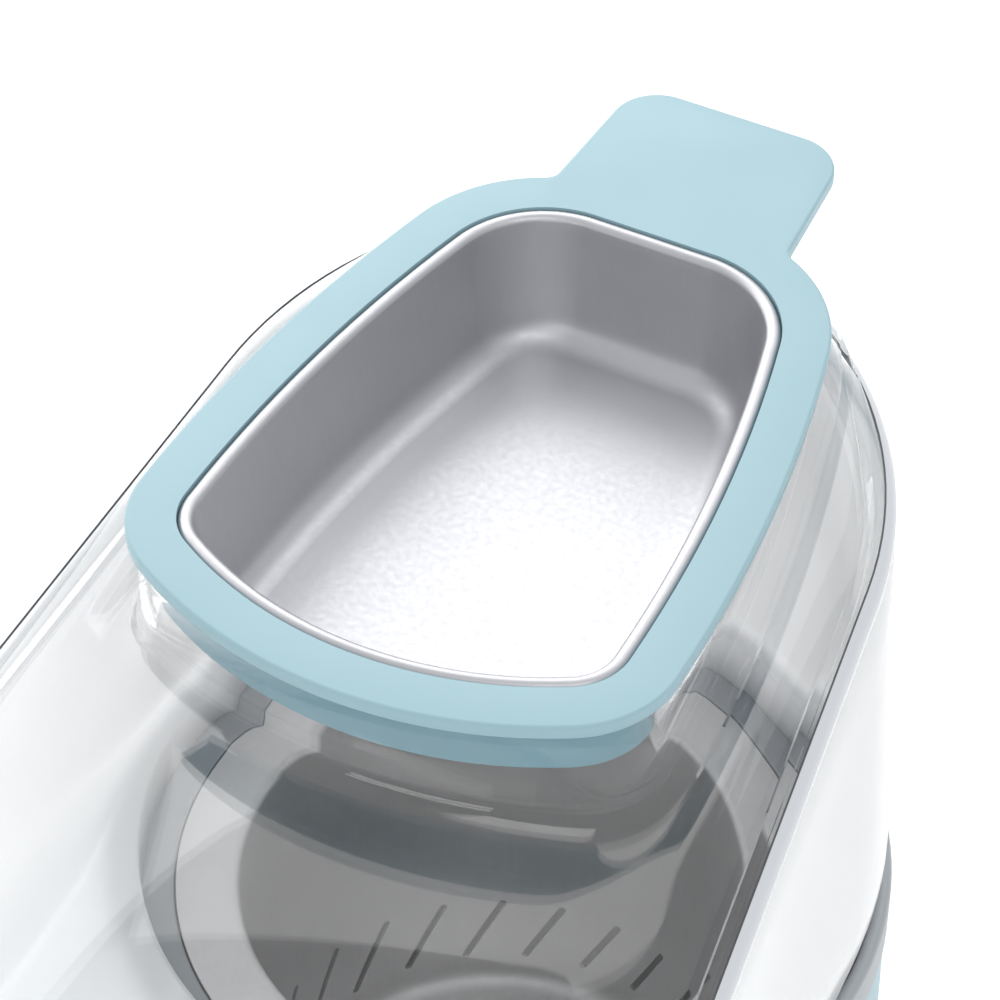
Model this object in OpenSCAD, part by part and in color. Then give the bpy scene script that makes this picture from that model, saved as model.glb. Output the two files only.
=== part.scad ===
// Hot-air popcorn maker: fan base, lift-off popcorn chute with a clear top,
// and a butter cup that hangs in the clear top's collar.
// Millimetres. +Z is up, -Y is the mouth side. The origin is on the base's
// round axis, at the level of the surface that the feet stand on.

/* [Base] */
// Height of the grey rim's top above the table
base_h = 208; // [200:1:240]
// How much further out the housing's foot is than its top
base_flare = 5.5; // [3:0.5:10]
// Wall thickness of the housing
housing_wall = 2.6; // [2:0.2:4]
// Thickness of the housing's top ledge
ledge_t = 2.5; // [2:0.5:4]
// How far the housing's lower edge hangs below the base plate
skirt_drop = 3; // [1:0.5:4]
// Radius of the rounding along the housing's lower edge
edge_round = 4; // [2:0.5:6]

/* [Base plate and feet] */
// Height of the rubber feet
foot_h = 7; // [6:0.5:12]
// Radius of a foot
foot_r = 9; // [6:0.5:10]
// Radius of the circle that the outer feet stand on
foot_circle_r = 58; // [50:1:62]
// Radius of a foot's stem
foot_stem_r = 2.8; // [2:0.2:4]
// Thickness of the base plate
plate_t = 3; // [2:0.5:4]
// Number of air slots in the base plate
plate_slots = 28; // [16:1:32]
// Width of an air slot in the base plate
plate_slot_w = 3; // [2:0.25:3.5]
// Inner radius of the ring of air slots
plate_slot_r = 22; // [20:1:26]
// Length of an air slot in the base plate
plate_slot_l = 20; // [12:1:24]
// Number of air slots in the housing's back
back_slots = 9; // [3:1:13]
// Width of a back air slot
back_slot_w = 3; // [2:0.5:4]
// Height of a back air slot
back_slot_h = 26; // [14:1:34]
// Height of the back air slots' lower ends
back_slot_z = 46; // [40:1:60]
// Angle from one back air slot to the next
back_slot_step = 5; // [4.5:0.5:7]

/* [Rim ring] */
// Height of the grey rim ring
rim_h = 10.5; // [8:0.5:14]
// Thickness of the rim ring's upright wall
rim_wall = 3; // [2:0.25:4]
// Thickness of the rim ring's level floor
rim_floor_t = 2.5; // [2:0.25:4]
// Gap between the rim ring's wall and the chute's seat
rim_gap = 2; // [1.5:0.25:4]
// How far the rim ring stands out past the housing's top
rim_proud = 0.4; // [0:0.1:1]

/* [Popping chamber] */
// Inside radius of the popping chamber
chamber_r = 48; // [44:0.5:50]
// Thickness of the chamber's sheet
chamber_wall = 0.8; // [0.6:0.1:1.2]
// Width of the chamber's top flange
chamber_flange_w = 12; // [10:0.5:14]
// Height of the dome in the chamber's floor
chamber_dome_h = 5; // [3:0.5:8]
// Number of air louvres
louvre_count = 24; // [16:1:30]
// Width of a louvre
louvre_w = 1.6; // [1:0.1:2.2]
// Height of a louvre
louvre_h = 20; // [14:1:26]
// Lean of the louvres that makes the corn swirl
louvre_lean = 25; // [10:1:32]
// Height of the louvres' lower ends above the chamber's floor
louvre_lift = 7; // [5:0.5:10]

/* [Air path] */
// Radial gap between the chamber and the air duct
duct_gap = 6; // [4:0.5:6.5]
// Thickness of the duct's sheet
duct_wall = 0.8; // [0.6:0.1:1.2]
// Width of the flange between duct and fan housing
duct_flange_w = 11; // [10:0.5:12]
// Height of the fan housing
fan_housing_h = 39; // [38:0.5:44]
// Wall thickness of the fan housing
fan_wall = 2.6; // [2:0.2:3.4]
// Floor thickness of the fan housing
fan_floor_t = 3; // [2:0.5:4]
// How far the fan housing's top is below the chamber's floor
duct_drop = 11; // [10:0.5:12]
// Thickness of the chamber carrier between chamber and duct
carrier_h = 9; // [8:0.5:12]

/* [Fan] */
// Radius of the impeller
impeller_r = 42; // [36:1:46]
// Height of an impeller blade
blade_h = 12; // [8:0.5:12]
// Number of impeller blades
blade_count = 11; // [7:1:15]
// Thickness of a blade
blade_t = 1.4; // [1:0.1:2]
// Radius of the impeller's hub
hub_r = 5; // [4:0.5:6]

/* [Motor] */
// Height of the motor's can above the base plate
motor_lift = 11; // [10:0.5:14]
// Radius of the motor's can
motor_r = 14; // [12.5:0.5:15]
// Length of the motor's can
motor_len = 36; // [32:0.5:37]
// Wall thickness of the motor's can
motor_wall = 1.2; // [0.8:0.1:1.5]
// Radius of the motor's shaft
shaft_r = 1.15; // [1:0.05:1.6]
// Outside radius of a shaft bush
bush_r = 3; // [2.6:0.1:3.2]

/* [Heater] */
// Radius of the heating coil's turns
coil_r = 36; // [30:1:40]
// Radius of the coiled heating wire, taken as one rope
coil_wire_r = 1.5; // [1.2:0.1:1.6]
// Number of turns of the heating coil
coil_turns = 3; // [2:1:4]
// Rise of the coil in one turn
coil_pitch = 5; // [4.5:0.25:5]
// Height of the mica boards
mica_h = 24; // [22:0.5:24.5]
// Thickness of a mica board
mica_t = 1; // [0.6:0.1:1.4]

/* [Switch] */
// Height of the switch's centre above the table
switch_z = 40; // [38:1:44]
// Width of the switch's opening
switch_w = 13.2; // [12:0.2:16]
// Height of the switch's opening
switch_h = 19.4; // [18:0.2:22]
// Depth of the switch behind the wall
switch_depth = 16; // [14:0.5:18]
// Tilt of the rocker from one side to the other
rocker_swing = 24; // [16:1:26]

/* [Cord gland] */
// Height of the cord gland above the table
gland_z = 26; // [24:1:30]
// Radius of the gland's barrel
gland_r = 7; // [6:0.5:8]
// Radius of the hole for a cord
gland_bore_r = 3.8; // [3:0.1:4.5]

/* [Chute] */
// Outside radius of the chute's seat in the rim
seat_r = 69; // [68:0.1:72]
// Outside radius of the chute's round back at its top edge
back_r = 65; // [62:0.5:70]
// How far the top edge's round back is set to the rear
back_y = 10; // [8:0.5:16]
// Half-width of the chute above the rim
low_half_w = 72.4; // [71:0.1:75]
// Angle at which each side of the top edge opens towards the mouth
flare = 6.25; // [3:0.25:7]
// Distance from the base's axis to the mouth's top edge
mouth_reach = 150; // [140:1:165]
// Distance from the base's axis to the lip of the chute's floor
lip_reach = 130; // [120:1:140]
// How far the lip and the mouth's edge bow forward
mouth_bow = 10; // [6:0.5:14]
// Wall thickness of the chute
chute_wall = 2.4; // [2:0.1:3]
// Height of the chute's top edge plane above the table, at the axis
edge_z = 281.5; // [275:0.5:295]
// Slope of the top edge plane, down towards the mouth
edge_slope = 12.5; // [8:0.25:13]
// Distance from the axis to where the floor starts to slope down
floor_bend = 82; // [80:0.5:95]
// Slope of the floor's front part
floor_slope = 10; // [6:0.5:10.5]
// Gap between the rim's top and the chute's floor above it
floor_gap = 1.5; // [1:0.25:3]

/* [Clear top] */
// Thickness of the clear top
window_t = 2.4; // [2:0.1:3]
// Height of the clear top's outer band
band_h = 5; // [4:0.5:8]
// How far the top of the band is set in from its foot
band_lean = 1.9; // [1:0.1:2.4]
// Height of the crown at the axis, above the edge plane
crown_h = 16; // [13:0.5:18]
// Slope of the crown line, down towards the mouth
crown_slope = 8.5; // [6:0.25:8.75]
// Fall of the crown from the middle to the collar's sides
crown_fall = 8; // [5:0.5:9]
// Wall thickness of the collar
collar_wall = 2.2; // [1.8:0.1:2.6]
// Gap below the cup's ring, and around its skirt
cup_gap = 0.4; // [0.3:0.1:0.6]
// Gap between the clear top's inner lip and the chute's wall
lip_gap = 1.5; // [1.4:0.1:2]

/* [Butter cup] */
// Height of the cup's ring above the chute's top edge plane, at the axis
cup_rise = 28.5; // [25.5:0.5:34.5]
// Thickness of the ring and the handle
ring_t = 3; // [2.5:0.1:4]
// Width of the level border around the metal tray
ring_border = 8.6; // [8:0.1:9.4]
// Half-width of the ring at its front corners
ring_half_w = 49.9; // [48:0.1:52]
// Distance from the base's axis to the ring's front
ring_front = 60.5; // [58:0.5:64]
// Distance from the base's axis to the ring's back
ring_back = 71; // [68:0.5:74]
// Radius of the ring's front corners
ring_front_r = 20; // [18:0.5:24]
// Radius of the ring's back corners
ring_back_r = 29.7; // [26:0.5:32]
// Half-width between the centres of the ring's back corners
ring_back_w = 11.4; // [9:0.1:14]
// Radius of the ring's bowed front
front_bow_r = 79.6; // [70:1:100]
// Radius of the ring's bowed sides
side_bow_r = 320; // [250:10:500]
// How far the skirt hangs below the ring
skirt_h = 11.5; // [7:0.5:12]
// Thickness of the skirt
skirt_t = 2; // [1.6:0.1:2.4]
// Half-width of the handle at its root
handle_root_w = 22.8; // [20:0.2:25]
// Half-width of the handle at its end
handle_end_w = 21; // [18:0.2:25]
// Distance from the base's axis to the handle's end
handle_reach = 99.5; // [92:0.5:110]
// Radius of the handle's end corners
handle_corner_r = 7; // [4:0.5:10]
// Depth of the metal tray
tray_depth = 26; // [20:0.5:28]
// Thickness of the tray's sheet
tray_wall = 0.8; // [0.6:0.1:1.2]
// Width of the tray's rolled rim
tray_rim_w = 2.2; // [2:0.1:2.6]
// How far the tray's walls lean in, from rim to floor
tray_lean = 3; // [2:0.5:3.5]
// Radius of the bend between the tray's wall and floor
tray_bend_r = 5.5; // [4:0.5:6]

/* [Hidden] */
$fn = 96;

// Small sizes that several pieces share
eps = 0.01;
over = 1;
slip = 0.2;
run_gap = 0.05;
screw_r = 1.5;
screw_hole_r = 1.7;
screw_head_r = 3;
screw_head_h = 1.8;
screw_bite = 8;
head_proud = 0.3;
blind_skin = 0.8;

// Radii from the chute's seat outwards
rim_in_r = seat_r + rim_gap;
rim_r = rim_in_r + rim_wall;
housing_r = rim_r - rim_proud;
base_r = housing_r + base_flare;

// Heights of the base, from the top down
deck_z = base_h - rim_h + rim_floor_t;
housing_top_z = base_h - rim_h;
ledge_z = housing_top_z - ledge_t;
plate_z = foot_h;
housing_low_z = plate_z - skirt_drop;
plate_top_z = plate_z + plate_t;

// Heights of what stands on the base plate, from the motor up
motor_low_z = plate_top_z + motor_lift;
motor_top_z = motor_low_z + motor_len;
fan_low_z = motor_top_z;
duct_low_z = fan_low_z + fan_housing_h;
chamber_low_z = duct_low_z + duct_drop;

// Chamber, its carrier and the duct
flange_sink = 1;
chamber_out_r = chamber_r + chamber_wall;
chamber_flange_r = chamber_r + chamber_flange_w;
chamber_top_z = deck_z - flange_sink;
carrier_low_z = chamber_top_z - carrier_h;
carrier_r = chamber_flange_r + slip;
carrier_ear_t = 2.6;
carrier_screw_r = (carrier_r + rim_opening_r()) / 2 + 3;
carrier_screw_count = 3;
duct_r = chamber_out_r + duct_gap;
duct_out_r = duct_r + duct_wall;
duct_flange_r = duct_out_r + duct_flange_w;
duct_screw_r = duct_out_r + 6.6;
duct_screw_count = 3;
duct_screw_first = 30;
duct_boss_h = 6;

// Fan housing and impeller
fan_floor_z = fan_low_z + fan_floor_t;
fan_r = duct_out_r + fan_wall - duct_wall;
fan_flange_t = 2.6;
spider_t = 1;
spider_z = duct_low_z - 17;
fan_step_w = 3.4;
impeller_lift = 2.2;
impeller_plate_t = 1.5;
blade_z = fan_floor_z + impeller_lift;
impeller_plate_z = blade_z + blade_h;
inlet_r = 30;
motor_seat_r = 15.5;
blade_root_r = 17;
blade_turn = 38;

// Motor
end_cap_t = 2.6;
end_cap_z = motor_low_z - end_cap_t;
bush_l = 4;
magnet_gap = 0.6;
armature_r = 8.8;
armature_l = 18;
commutator_r = 3.4;
commutator_l = 7;
commutator_z = motor_low_z + 3;
armature_z = commutator_z + commutator_l + 1.5;
motor_screw_r = 8.5;
lead_r = 1;
lead_x = motor_r - 4;
board_t = 1.6;
board_z = end_cap_z - 1.4 - board_t;
shaft_low_z = end_cap_z + 0.4;
shaft_top_z = impeller_plate_z + impeller_plate_t + 1.5;

// Heater
mica_z = spider_z + spider_t;
mica_half_w = duct_r - 6;
coil_z = mica_z + 4.5;
coil_steps = 24;
coil_sides = 6;
fuse_r = 2;
fuse_l = 12;

// Switch: a flat pad on the right side of the housing carries it
pad_margin = 5;
pad_x = side_r(switch_z) + 0.6;
bezel_t = 1.6;
bezel_w = 2;
case_gap = 0.2;
rocker_gap = 0.5;
case_wall = 1.4;
pivot_r = 1.3;
pivot_x = pad_x - 3.2;
rocker_r = 12.5;

// Cord gland: on a flat pad on the back of the housing
gland_pad_y = side_r(gland_z) + 0.4;
gland_flange_t = 2;
gland_nut_t = 4;
gland_len = 16;

// Chute and clear top
cup_top_z = edge_z + cup_rise;
slope = tan(edge_slope);
crown_tan = tan(crown_slope);
collar_in = skirt_inset() - cup_gap;
collar_out = collar_in - collar_wall;
collar_top_z = cup_top_z - ring_t - cup_gap;
collar_foot = 2.5;
under_z = base_h + floor_gap;
seat_low_z = deck_z + slip;
seat_in_r = seat_r - chute_wall - 2 * slip;
window_lip_t = 1.6;
window_lip_h = 3;
band_fall = 3;

// Points in each stretch of half an outline: front, corner, side, back
n_front = 6;
n_corner = 5;
n_side = 6;
n_back = 12;

function mix(a, b, t) = a + (b - a) * t;

// Points on an arc, without its last point
function arc(c, r, a0, a1, n) =
    [for (i = [0:n - 1]) c + r * [cos(mix(a0, a1, i / n)), sin(mix(a0, a1, i / n))]];

// Angle from one point to another
function aim(a, b) = atan2(b.y - a.y, b.x - a.x);

// Mirrors half an outline, which starts at the front middle, into a whole one
function whole(half, back) =
    concat(half, [back], [for (i = [len(half) - 1:-1:1]) [-half[i].x, half[i].y]]);

// Where two circles meet, on the side of smaller x
function meet(a, ra, b, rb) =
    let (d = norm(b - a), u = (b - a) / d,
        along = (ra * ra - rb * rb + d * d) / (2 * d),
        off = sqrt(ra * ra - along * along))
    a + u * along + off * [-u.y, u.x];

// Inner radius of the rim ring's floor
function rim_opening_r() = carrier_r + slip;

// Outside radius of the housing at height z
function side_r(z) =
    housing_r + base_flare * pow((housing_top_z - z) / (housing_top_z - housing_low_z), 1.6);

// The same, with the lower edge's rounding
function shell_r(z) =
    let (d = max(0, edge_round - (z - housing_low_z)))
    side_r(z) - edge_round + sqrt(edge_round * edge_round - d * d);

// Plan of the butter cup's ring, moved in by inset
ring_front_c = [ring_half_w - ring_front_r, ring_front_c_y()];
ring_back_c = [ring_back_w, ring_back - ring_back_r];
bow_c = [0, front_bow_r - ring_front];
side_c = meet(ring_front_c, side_bow_r - ring_front_r, ring_back_c, side_bow_r - ring_back_r);
function ring_front_c_y() =
    front_bow_r - ring_front
    - sqrt(pow(front_bow_r - ring_front_r, 2) - pow(ring_half_w - ring_front_r, 2));
function cup_plan(inset) =
    let (a1 = aim(bow_c, ring_front_c), a2 = aim(side_c, ring_front_c),
        a3 = aim(side_c, ring_back_c))
    whole(concat(
        arc(bow_c, front_bow_r - inset, -90, a1, n_front),
        arc(ring_front_c, ring_front_r - inset, a1, a2, n_corner),
        arc(side_c, side_bow_r - inset, a2, a3, n_side),
        arc(ring_back_c, ring_back_r - inset, a3, 90, n_back)),
        [0, ring_back - inset]);
function skirt_inset() = collar_wall + cup_gap + 1.6;
function tray_inset() = ring_border + 0.1;

// Plan of the chute at the share t of its height, 0 low and 1 at the top edge,
// with its front middle at reach, and moved in by inset at its sides and back
function chute_plan(t, r_low, reach, inset = 0) =
    let (r = mix(r_low, back_r, t), c = [0, mix(0, back_y, t)], f = mix(0, flare, t),
        front = -reach,
        corner_y = front + mouth_bow,
        // the side leaves the round back where its normal is turned by f
        p = c + (r - inset) * [cos(f), sin(f)],
        w = p.x + (p.y - corner_y) * tan(f),
        bow_r = (w * w + mouth_bow * mouth_bow) / (2 * mouth_bow),
        half_a = asin(w / bow_r))
    whole(concat(
        arc([0, front + bow_r], bow_r, -90, -90 + half_a, n_front),
        [for (i = [0:n_corner - 1]) mix([w, corner_y], p, 0.3 * i / n_corner)],
        [for (i = [0:n_side - 1]) mix([w, corner_y], p, mix(0.3, 1, i / n_side))],
        arc(c, r - inset, f, 90, n_back)),
        [0, c.y + r - inset]);

// Puts an outline at one level, or on the sloping edge plane
function at_level(plan, z) = [for (p = plan) [p.x, p.y, z]];
function edge_level(y, lift) = edge_z + slope * y + lift;
function on_edge(plan, lift) = [for (p = plan) [p.x, p.y, edge_level(p.y, lift)]];
function between(a, b, t) = [for (i = [0:len(a) - 1]) a[i] + (b[i] - a[i]) * t];

// A solid skinned over rings of points, from the lowest outside ring on.
// With loop it closes on itself like a tyre, else both ends get a flat face
module skin(rings, loop = false) {
    m = len(rings[0]);
    n = len(rings);
    last = loop ? n - 1 : n - 2;
    sides = [for (k = [0:last]) for (i = [0:m - 1])
        let (a = k * m + i, b = k * m + (i + 1) % m,
            c = ((k + 1) % n) * m + (i + 1) % m, d = ((k + 1) % n) * m + i)
        each [[a, c, b], [a, d, c]]];
    ends = loop ? [] : [[for (i = [0:m - 1]) i], [for (i = [m - 1:-1:0]) (n - 1) * m + i]];
    polyhedron([for (r = rings) each r], concat(sides, ends));
}

// A round tube or ring between two heights
module tube(r_out, r_in, z0, z1) {
    translate([0, 0, z0]) difference() {
        cylinder(r = r_out, h = z1 - z0);
        translate([0, 0, -over]) cylinder(r = r_in, h = z1 - z0 + 2 * over);
    }
}

// Copies its children round the axis
module around(count, first = 0) {
    for (i = [0:count - 1]) rotate([0, 0, first + i * 360 / count]) children();
}

// A screw that points up, with its head's lower face at z = 0
module screw_up(length) {
    cylinder(r = screw_head_r, h = screw_head_h, $fn = 32);
    translate([0, 0, screw_head_h - eps]) cylinder(r = screw_r, h = length + eps, $fn = 24);
}

// A screw's clearance hole and its thread hole, from z = -over up
module screw_hole(length) {
    translate([0, 0, -over]) cylinder(r = screw_hole_r, h = length + 2 * over);
}

module thread_hole(length) {
    translate([0, 0, -over]) cylinder(r = screw_r + run_gap, h = length + over);
}

// ---- Base: housing, rim ring, plate and feet ----

boss_count = 4;
boss_first = 20;
boss_r = 4.2;
boss_circle_r = base_r - housing_wall - 9;
boss_h = 18;
shell_levels = [for (i = [0:5]) housing_low_z + edge_round * (1 - cos(i * 18)),
    for (i = [1:10]) mix(housing_low_z + edge_round, housing_top_z, i / 10)];

module housing_shell() {
    outside = [for (z = shell_levels) [shell_r(z), z]];
    inside = [for (z = shell_levels) [shell_r(z) - housing_wall, min(z, ledge_z)]];
    ledge = [[rim_opening_r(), housing_top_z], [rim_opening_r(), ledge_z]];
    rotate_extrude() polygon(concat(outside, ledge, [for (i = [len(inside) - 1:-1:0]) inside[i]]));
}

module screw_bosses() {
    around(boss_count, boss_first) {
        translate([boss_circle_r, 0, plate_top_z]) cylinder(r = boss_r, h = boss_h);
        translate([boss_circle_r, -1, plate_top_z])
            cube([side_r(plate_top_z + boss_h) - housing_wall / 2 - boss_circle_r, 2, boss_h]);
    }
}

module switch_pad() {
    pad_w = switch_w + 2 * pad_margin;
    pad_h = switch_h + 2 * pad_margin;
    translate([pad_x - 5, -pad_w / 2, switch_z - pad_h / 2]) cube([5, pad_w, pad_h]);
}

module gland_pad() {
    translate([0, gland_pad_y - 4, gland_z]) rotate([-90, 0, 0]) cylinder(r = gland_r + 5, h = 4);
}

module housing() {
    color("paleturquoise") difference() {
        union() {
            housing_shell();
            screw_bosses();
            switch_pad();
            gland_pad();
        }
        around(boss_count, boss_first)
            translate([boss_circle_r, 0, plate_top_z]) thread_hole(screw_bite + over);
        around(carrier_screw_count) translate([carrier_screw_r, 0, ledge_z]) screw_hole(ledge_t);
        translate([pad_x - 12, -switch_w / 2, switch_z - switch_h / 2]) cube([20, switch_w, switch_h]);
        translate([0, gland_pad_y - 12, gland_z]) rotate([-90, 0, 0]) cylinder(r = gland_r + slip, h = 20);
        for (i = [0:back_slots - 1])
            rotate([0, 0, 90 + (i - (back_slots - 1) / 2) * back_slot_step])
                translate([base_r - 12, -back_slot_w / 2, back_slot_z]) cube([20, back_slot_w, back_slot_h]);
    }
}

module rim_ring() {
    top_r = rim_wall / 2;
    crown = [for (i = [0:6]) [rim_in_r + top_r + top_r * cos(i * 30), base_h - top_r + top_r * sin(i * 30)]];
    color("silver") difference() {
        rotate_extrude() polygon(concat(
            [[rim_opening_r(), housing_top_z], [rim_r, housing_top_z]], crown,
            [[rim_in_r, deck_z], [rim_opening_r(), deck_z]]));
        around(carrier_screw_count) translate([carrier_screw_r, 0, housing_top_z])
            thread_hole(rim_floor_t - blind_skin);
    }
}

// Copies its children to the four outer feet and to the one under the motor
module at_feet() {
    around(4, 45) translate([foot_circle_r, 0, 0]) children();
    children();
}

module base_plate() {
    plate_r = shell_r(plate_z) - housing_wall - slip;
    color("lightsteelblue") difference() {
        translate([0, 0, plate_z]) cylinder(r = plate_r, h = plate_t);
        around(plate_slots) translate([plate_slot_r, -plate_slot_w / 2, plate_z - over])
            cube([plate_slot_l, plate_slot_w, plate_t + 2 * over]);
        at_feet() translate([0, 0, plate_z - over])
            cylinder(r = foot_stem_r + run_gap, h = plate_t + 2 * over);
        around(boss_count, boss_first) translate([boss_circle_r, 0, plate_z]) {
            screw_hole(plate_t);
            translate([0, 0, -over]) cylinder(r = screw_head_r + slip, h = over + screw_head_h - head_proud);
        }
    }
}

module feet() {
    barb_r = foot_stem_r + 0.8;
    color("dimgray") at_feet() {
        cylinder(r1 = foot_r - 1, r2 = foot_r, h = 1.5);
        translate([0, 0, 1.5]) cylinder(r = foot_r, h = foot_h - 1.5);
        translate([0, 0, foot_h - eps]) cylinder(r = foot_stem_r, h = plate_t + 2 * eps);
        translate([0, 0, plate_top_z]) cylinder(r = barb_r, h = 1.5);
    }
}

module base_screws() {
    color("gray") around(boss_count, boss_first)
        translate([boss_circle_r, 0, plate_z - head_proud]) screw_up(screw_bite - 1);
}

// ---- Chamber, carrier and air duct ----

module chamber_carrier() {
    ear_r = housing_r - housing_wall - 1.5;
    color("dimgray") difference() {
        union() {
            tube(carrier_r, chamber_out_r + slip, carrier_low_z, chamber_top_z);
            tube(ear_r, carrier_r - over, ledge_z - carrier_ear_t, ledge_z);
        }
        around(carrier_screw_count) translate([carrier_screw_r, 0, carrier_low_z]) screw_hole(carrier_h);
    }
}

module carrier_screws() {
    color("gray") around(carrier_screw_count)
        translate([carrier_screw_r, 0, ledge_z - carrier_ear_t - screw_head_h])
            screw_up(carrier_ear_t + ledge_t + rim_floor_t - blind_skin - 2 * slip);
}

module louvre() {
    translate([chamber_r - 3, 0, chamber_low_z + louvre_lift + louvre_h / 2])
        rotate([louvre_lean, 0, 0]) translate([0, -louvre_w / 2, -louvre_h / 2])
            cube([8, louvre_w, louvre_h]);
}

module popping_chamber() {
    low_r = chamber_r - 3;
    floor_z = chamber_low_z + chamber_wall;
    color("gainsboro") difference() {
        rotate_extrude() polygon([
            [0, chamber_low_z + chamber_dome_h], [low_r - 12, chamber_low_z],
            [low_r, chamber_low_z], [chamber_out_r, chamber_low_z + 5],
            [chamber_out_r, chamber_top_z], [chamber_flange_r, chamber_top_z],
            [chamber_flange_r, chamber_top_z + chamber_wall],
            [chamber_r, chamber_top_z + chamber_wall],
            [chamber_r, floor_z + 4.5], [low_r - 0.4, floor_z],
            [low_r - 11.7, floor_z], [0, floor_z + chamber_dome_h]]);
        around(louvre_count) louvre();
    }
}

module air_duct() {
    color("lightgray") difference() {
        union() {
            tube(duct_out_r, duct_r, duct_low_z, carrier_low_z);
            tube(duct_flange_r, duct_r, duct_low_z, duct_low_z + duct_wall);
        }
        around(duct_screw_count, duct_screw_first)
            translate([duct_screw_r, 0, duct_low_z]) screw_hole(duct_wall);
    }
}

module duct_screws() {
    color("gray") around(duct_screw_count, duct_screw_first)
        translate([duct_screw_r, 0, duct_low_z + duct_wall + screw_head_h])
            mirror([0, 0, 1]) screw_up(duct_wall + duct_boss_h - 2 * over);
}

module fan_housing() {
    hub_out = motor_seat_r;
    color("dimgray") difference() {
        union() {
            rotate_extrude() polygon([
                [hub_out - eps, fan_low_z], [fan_r, fan_low_z],
                [fan_r, duct_low_z - fan_flange_t], [duct_flange_r, duct_low_z - fan_flange_t],
                [duct_flange_r, duct_low_z], [duct_r, duct_low_z], [duct_r, spider_z],
                [duct_r - fan_step_w, spider_z], [duct_r - fan_step_w, fan_floor_z],
                [hub_out - eps, fan_floor_z]]);
            tube(hub_out, bush_r + 2.3, fan_low_z, fan_floor_z);
            around(duct_screw_count, duct_screw_first)
                translate([duct_screw_r, 0, duct_low_z - fan_flange_t - duct_boss_h + eps])
                    cylinder(r = screw_head_r + over, h = duct_boss_h);
        }
        difference() {
            tube(inlet_r, hub_out, fan_low_z - over, fan_floor_z + over);
            around(6) translate([hub_out - 2, -2, fan_low_z - 2]) cube([inlet_r, 4, fan_floor_t + 4]);
        }
        around(duct_screw_count, duct_screw_first)
            translate([duct_screw_r, 0, duct_low_z - duct_boss_h]) thread_hole(duct_boss_h + over);
        around(2, 90) translate([motor_screw_r, 0, fan_low_z]) screw_hole(fan_floor_t);
    }
}

// ---- Heater ----

module heater_spider() {
    color("silver") {
        tube(duct_r - slip, duct_r - 5, spider_z, spider_z + spider_t);
        for (a = [0, 90]) rotate([0, 0, a]) difference() {
            translate([-duct_r + 4, -3, spider_z]) cube([2 * duct_r - 8, 6, spider_t]);
            if (a == 90) translate([-4, -3 - over, spider_z - over]) cube([8, 6 + 2 * over, 4]);
        }
    }
}

// Height of the coil at an angle in degrees
function coil_height(a) = coil_z + coil_pitch * a / 360;

module coil_notches(first) {
    for (side = [0, 180]) for (k = [0:coil_turns])
        translate([coil_r * cos(side), 0, coil_height(360 * k + (first + side) % 360)])
            rotate([90, 0, 0]) cylinder(r = coil_wire_r + 2 * run_gap, h = 4, center = true, $fn = 32);
}

module mica_board(first, slot_z) {
    difference() {
        translate([-mica_half_w, -mica_t / 2, mica_z]) cube([2 * mica_half_w, mica_t, mica_h]);
        translate([-mica_t / 2 - run_gap, -over, slot_z])
            cube([mica_t + 2 * run_gap, 2 * over, mica_h / 2 + over]);
        coil_notches(first);
    }
}

module mica_board_a() {
    color("wheat") mica_board(0, mica_z + mica_h / 2);
}

module mica_board_b() {
    color("wheat") rotate([0, 0, 90]) mica_board(90, mica_z - over);
}

module heater_coil() {
    steps = coil_turns * coil_steps;
    first_a = 360 / coil_steps;
    rings = [for (k = [0:steps])
        let (a = first_a + k * 360 / coil_steps)
        [for (j = [0:coil_sides - 1])
            let (b = -j * 360 / coil_sides, r = coil_r + coil_wire_r * cos(b))
            [r * cos(a), r * sin(a), coil_height(a) + coil_wire_r * sin(b)]]];
    color("dimgray") skin(rings);
}

module thermostat() {
    face_r = duct_out_r + 1.4;
    color("silver") rotate([0, 0, 200]) {
        translate([duct_out_r - 0.5, -9, chamber_low_z + 30]) difference() {
            cube([2, 18, 12]);
            translate([-duct_out_r + 0.5, 9, -over]) cylinder(r = duct_out_r + run_gap, h = 20);
        }
        translate([face_r, 0, chamber_low_z + 36]) rotate([0, 90, 0]) cylinder(r = 6, h = 5);
        for (y = [-3, 3]) translate([face_r + 5 - eps, y - 1.5, chamber_low_z + 33]) cube([6, 0.8, 6]);
    }
}

module thermal_fuse() {
    color("ivory") translate([20, mica_t / 2 + fuse_r, mica_z + 5]) {
        cylinder(r = fuse_r, h = fuse_l);
        translate([0, 0, -3]) cylinder(r = 0.5, h = fuse_l + 6, $fn = 24);
    }
}

// ---- Motor and impeller ----

module motor_can() {
    color("silver") difference() {
        translate([0, 0, motor_low_z]) cylinder(r = motor_r, h = motor_len);
        translate([0, 0, motor_low_z - over])
            cylinder(r = motor_r - motor_wall, h = motor_len - motor_wall + over);
        translate([0, 0, motor_low_z]) cylinder(r = bush_r, h = 2 * motor_len);
        around(2, 90) translate([motor_screw_r, 0, motor_top_z - 6]) cylinder(r = screw_r + run_gap, h = 8);
    }
}

module motor_end_cap() {
    color("dimgray") difference() {
        translate([0, 0, end_cap_z]) cylinder(r = motor_r, h = end_cap_t);
        translate([0, 0, end_cap_z - over]) cylinder(r = bush_r, h = end_cap_t + 2 * over);
        around(2) translate([lead_x, 0, end_cap_z - over])
            cylinder(r = lead_r + 2 * run_gap, h = end_cap_t + 2 * over, $fn = 24);
    }
}

module motor_magnets() {
    magnet_z = armature_z - 2;
    color("darkslategray") difference() {
        tube(motor_r - motor_wall, armature_r + magnet_gap, magnet_z, magnet_z + armature_l + 3);
        for (a = [0, 180]) rotate([0, 0, a]) translate([-4.5, 0, magnet_z - over])
            cube([9, motor_r, armature_l + 6]);
    }
}

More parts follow.
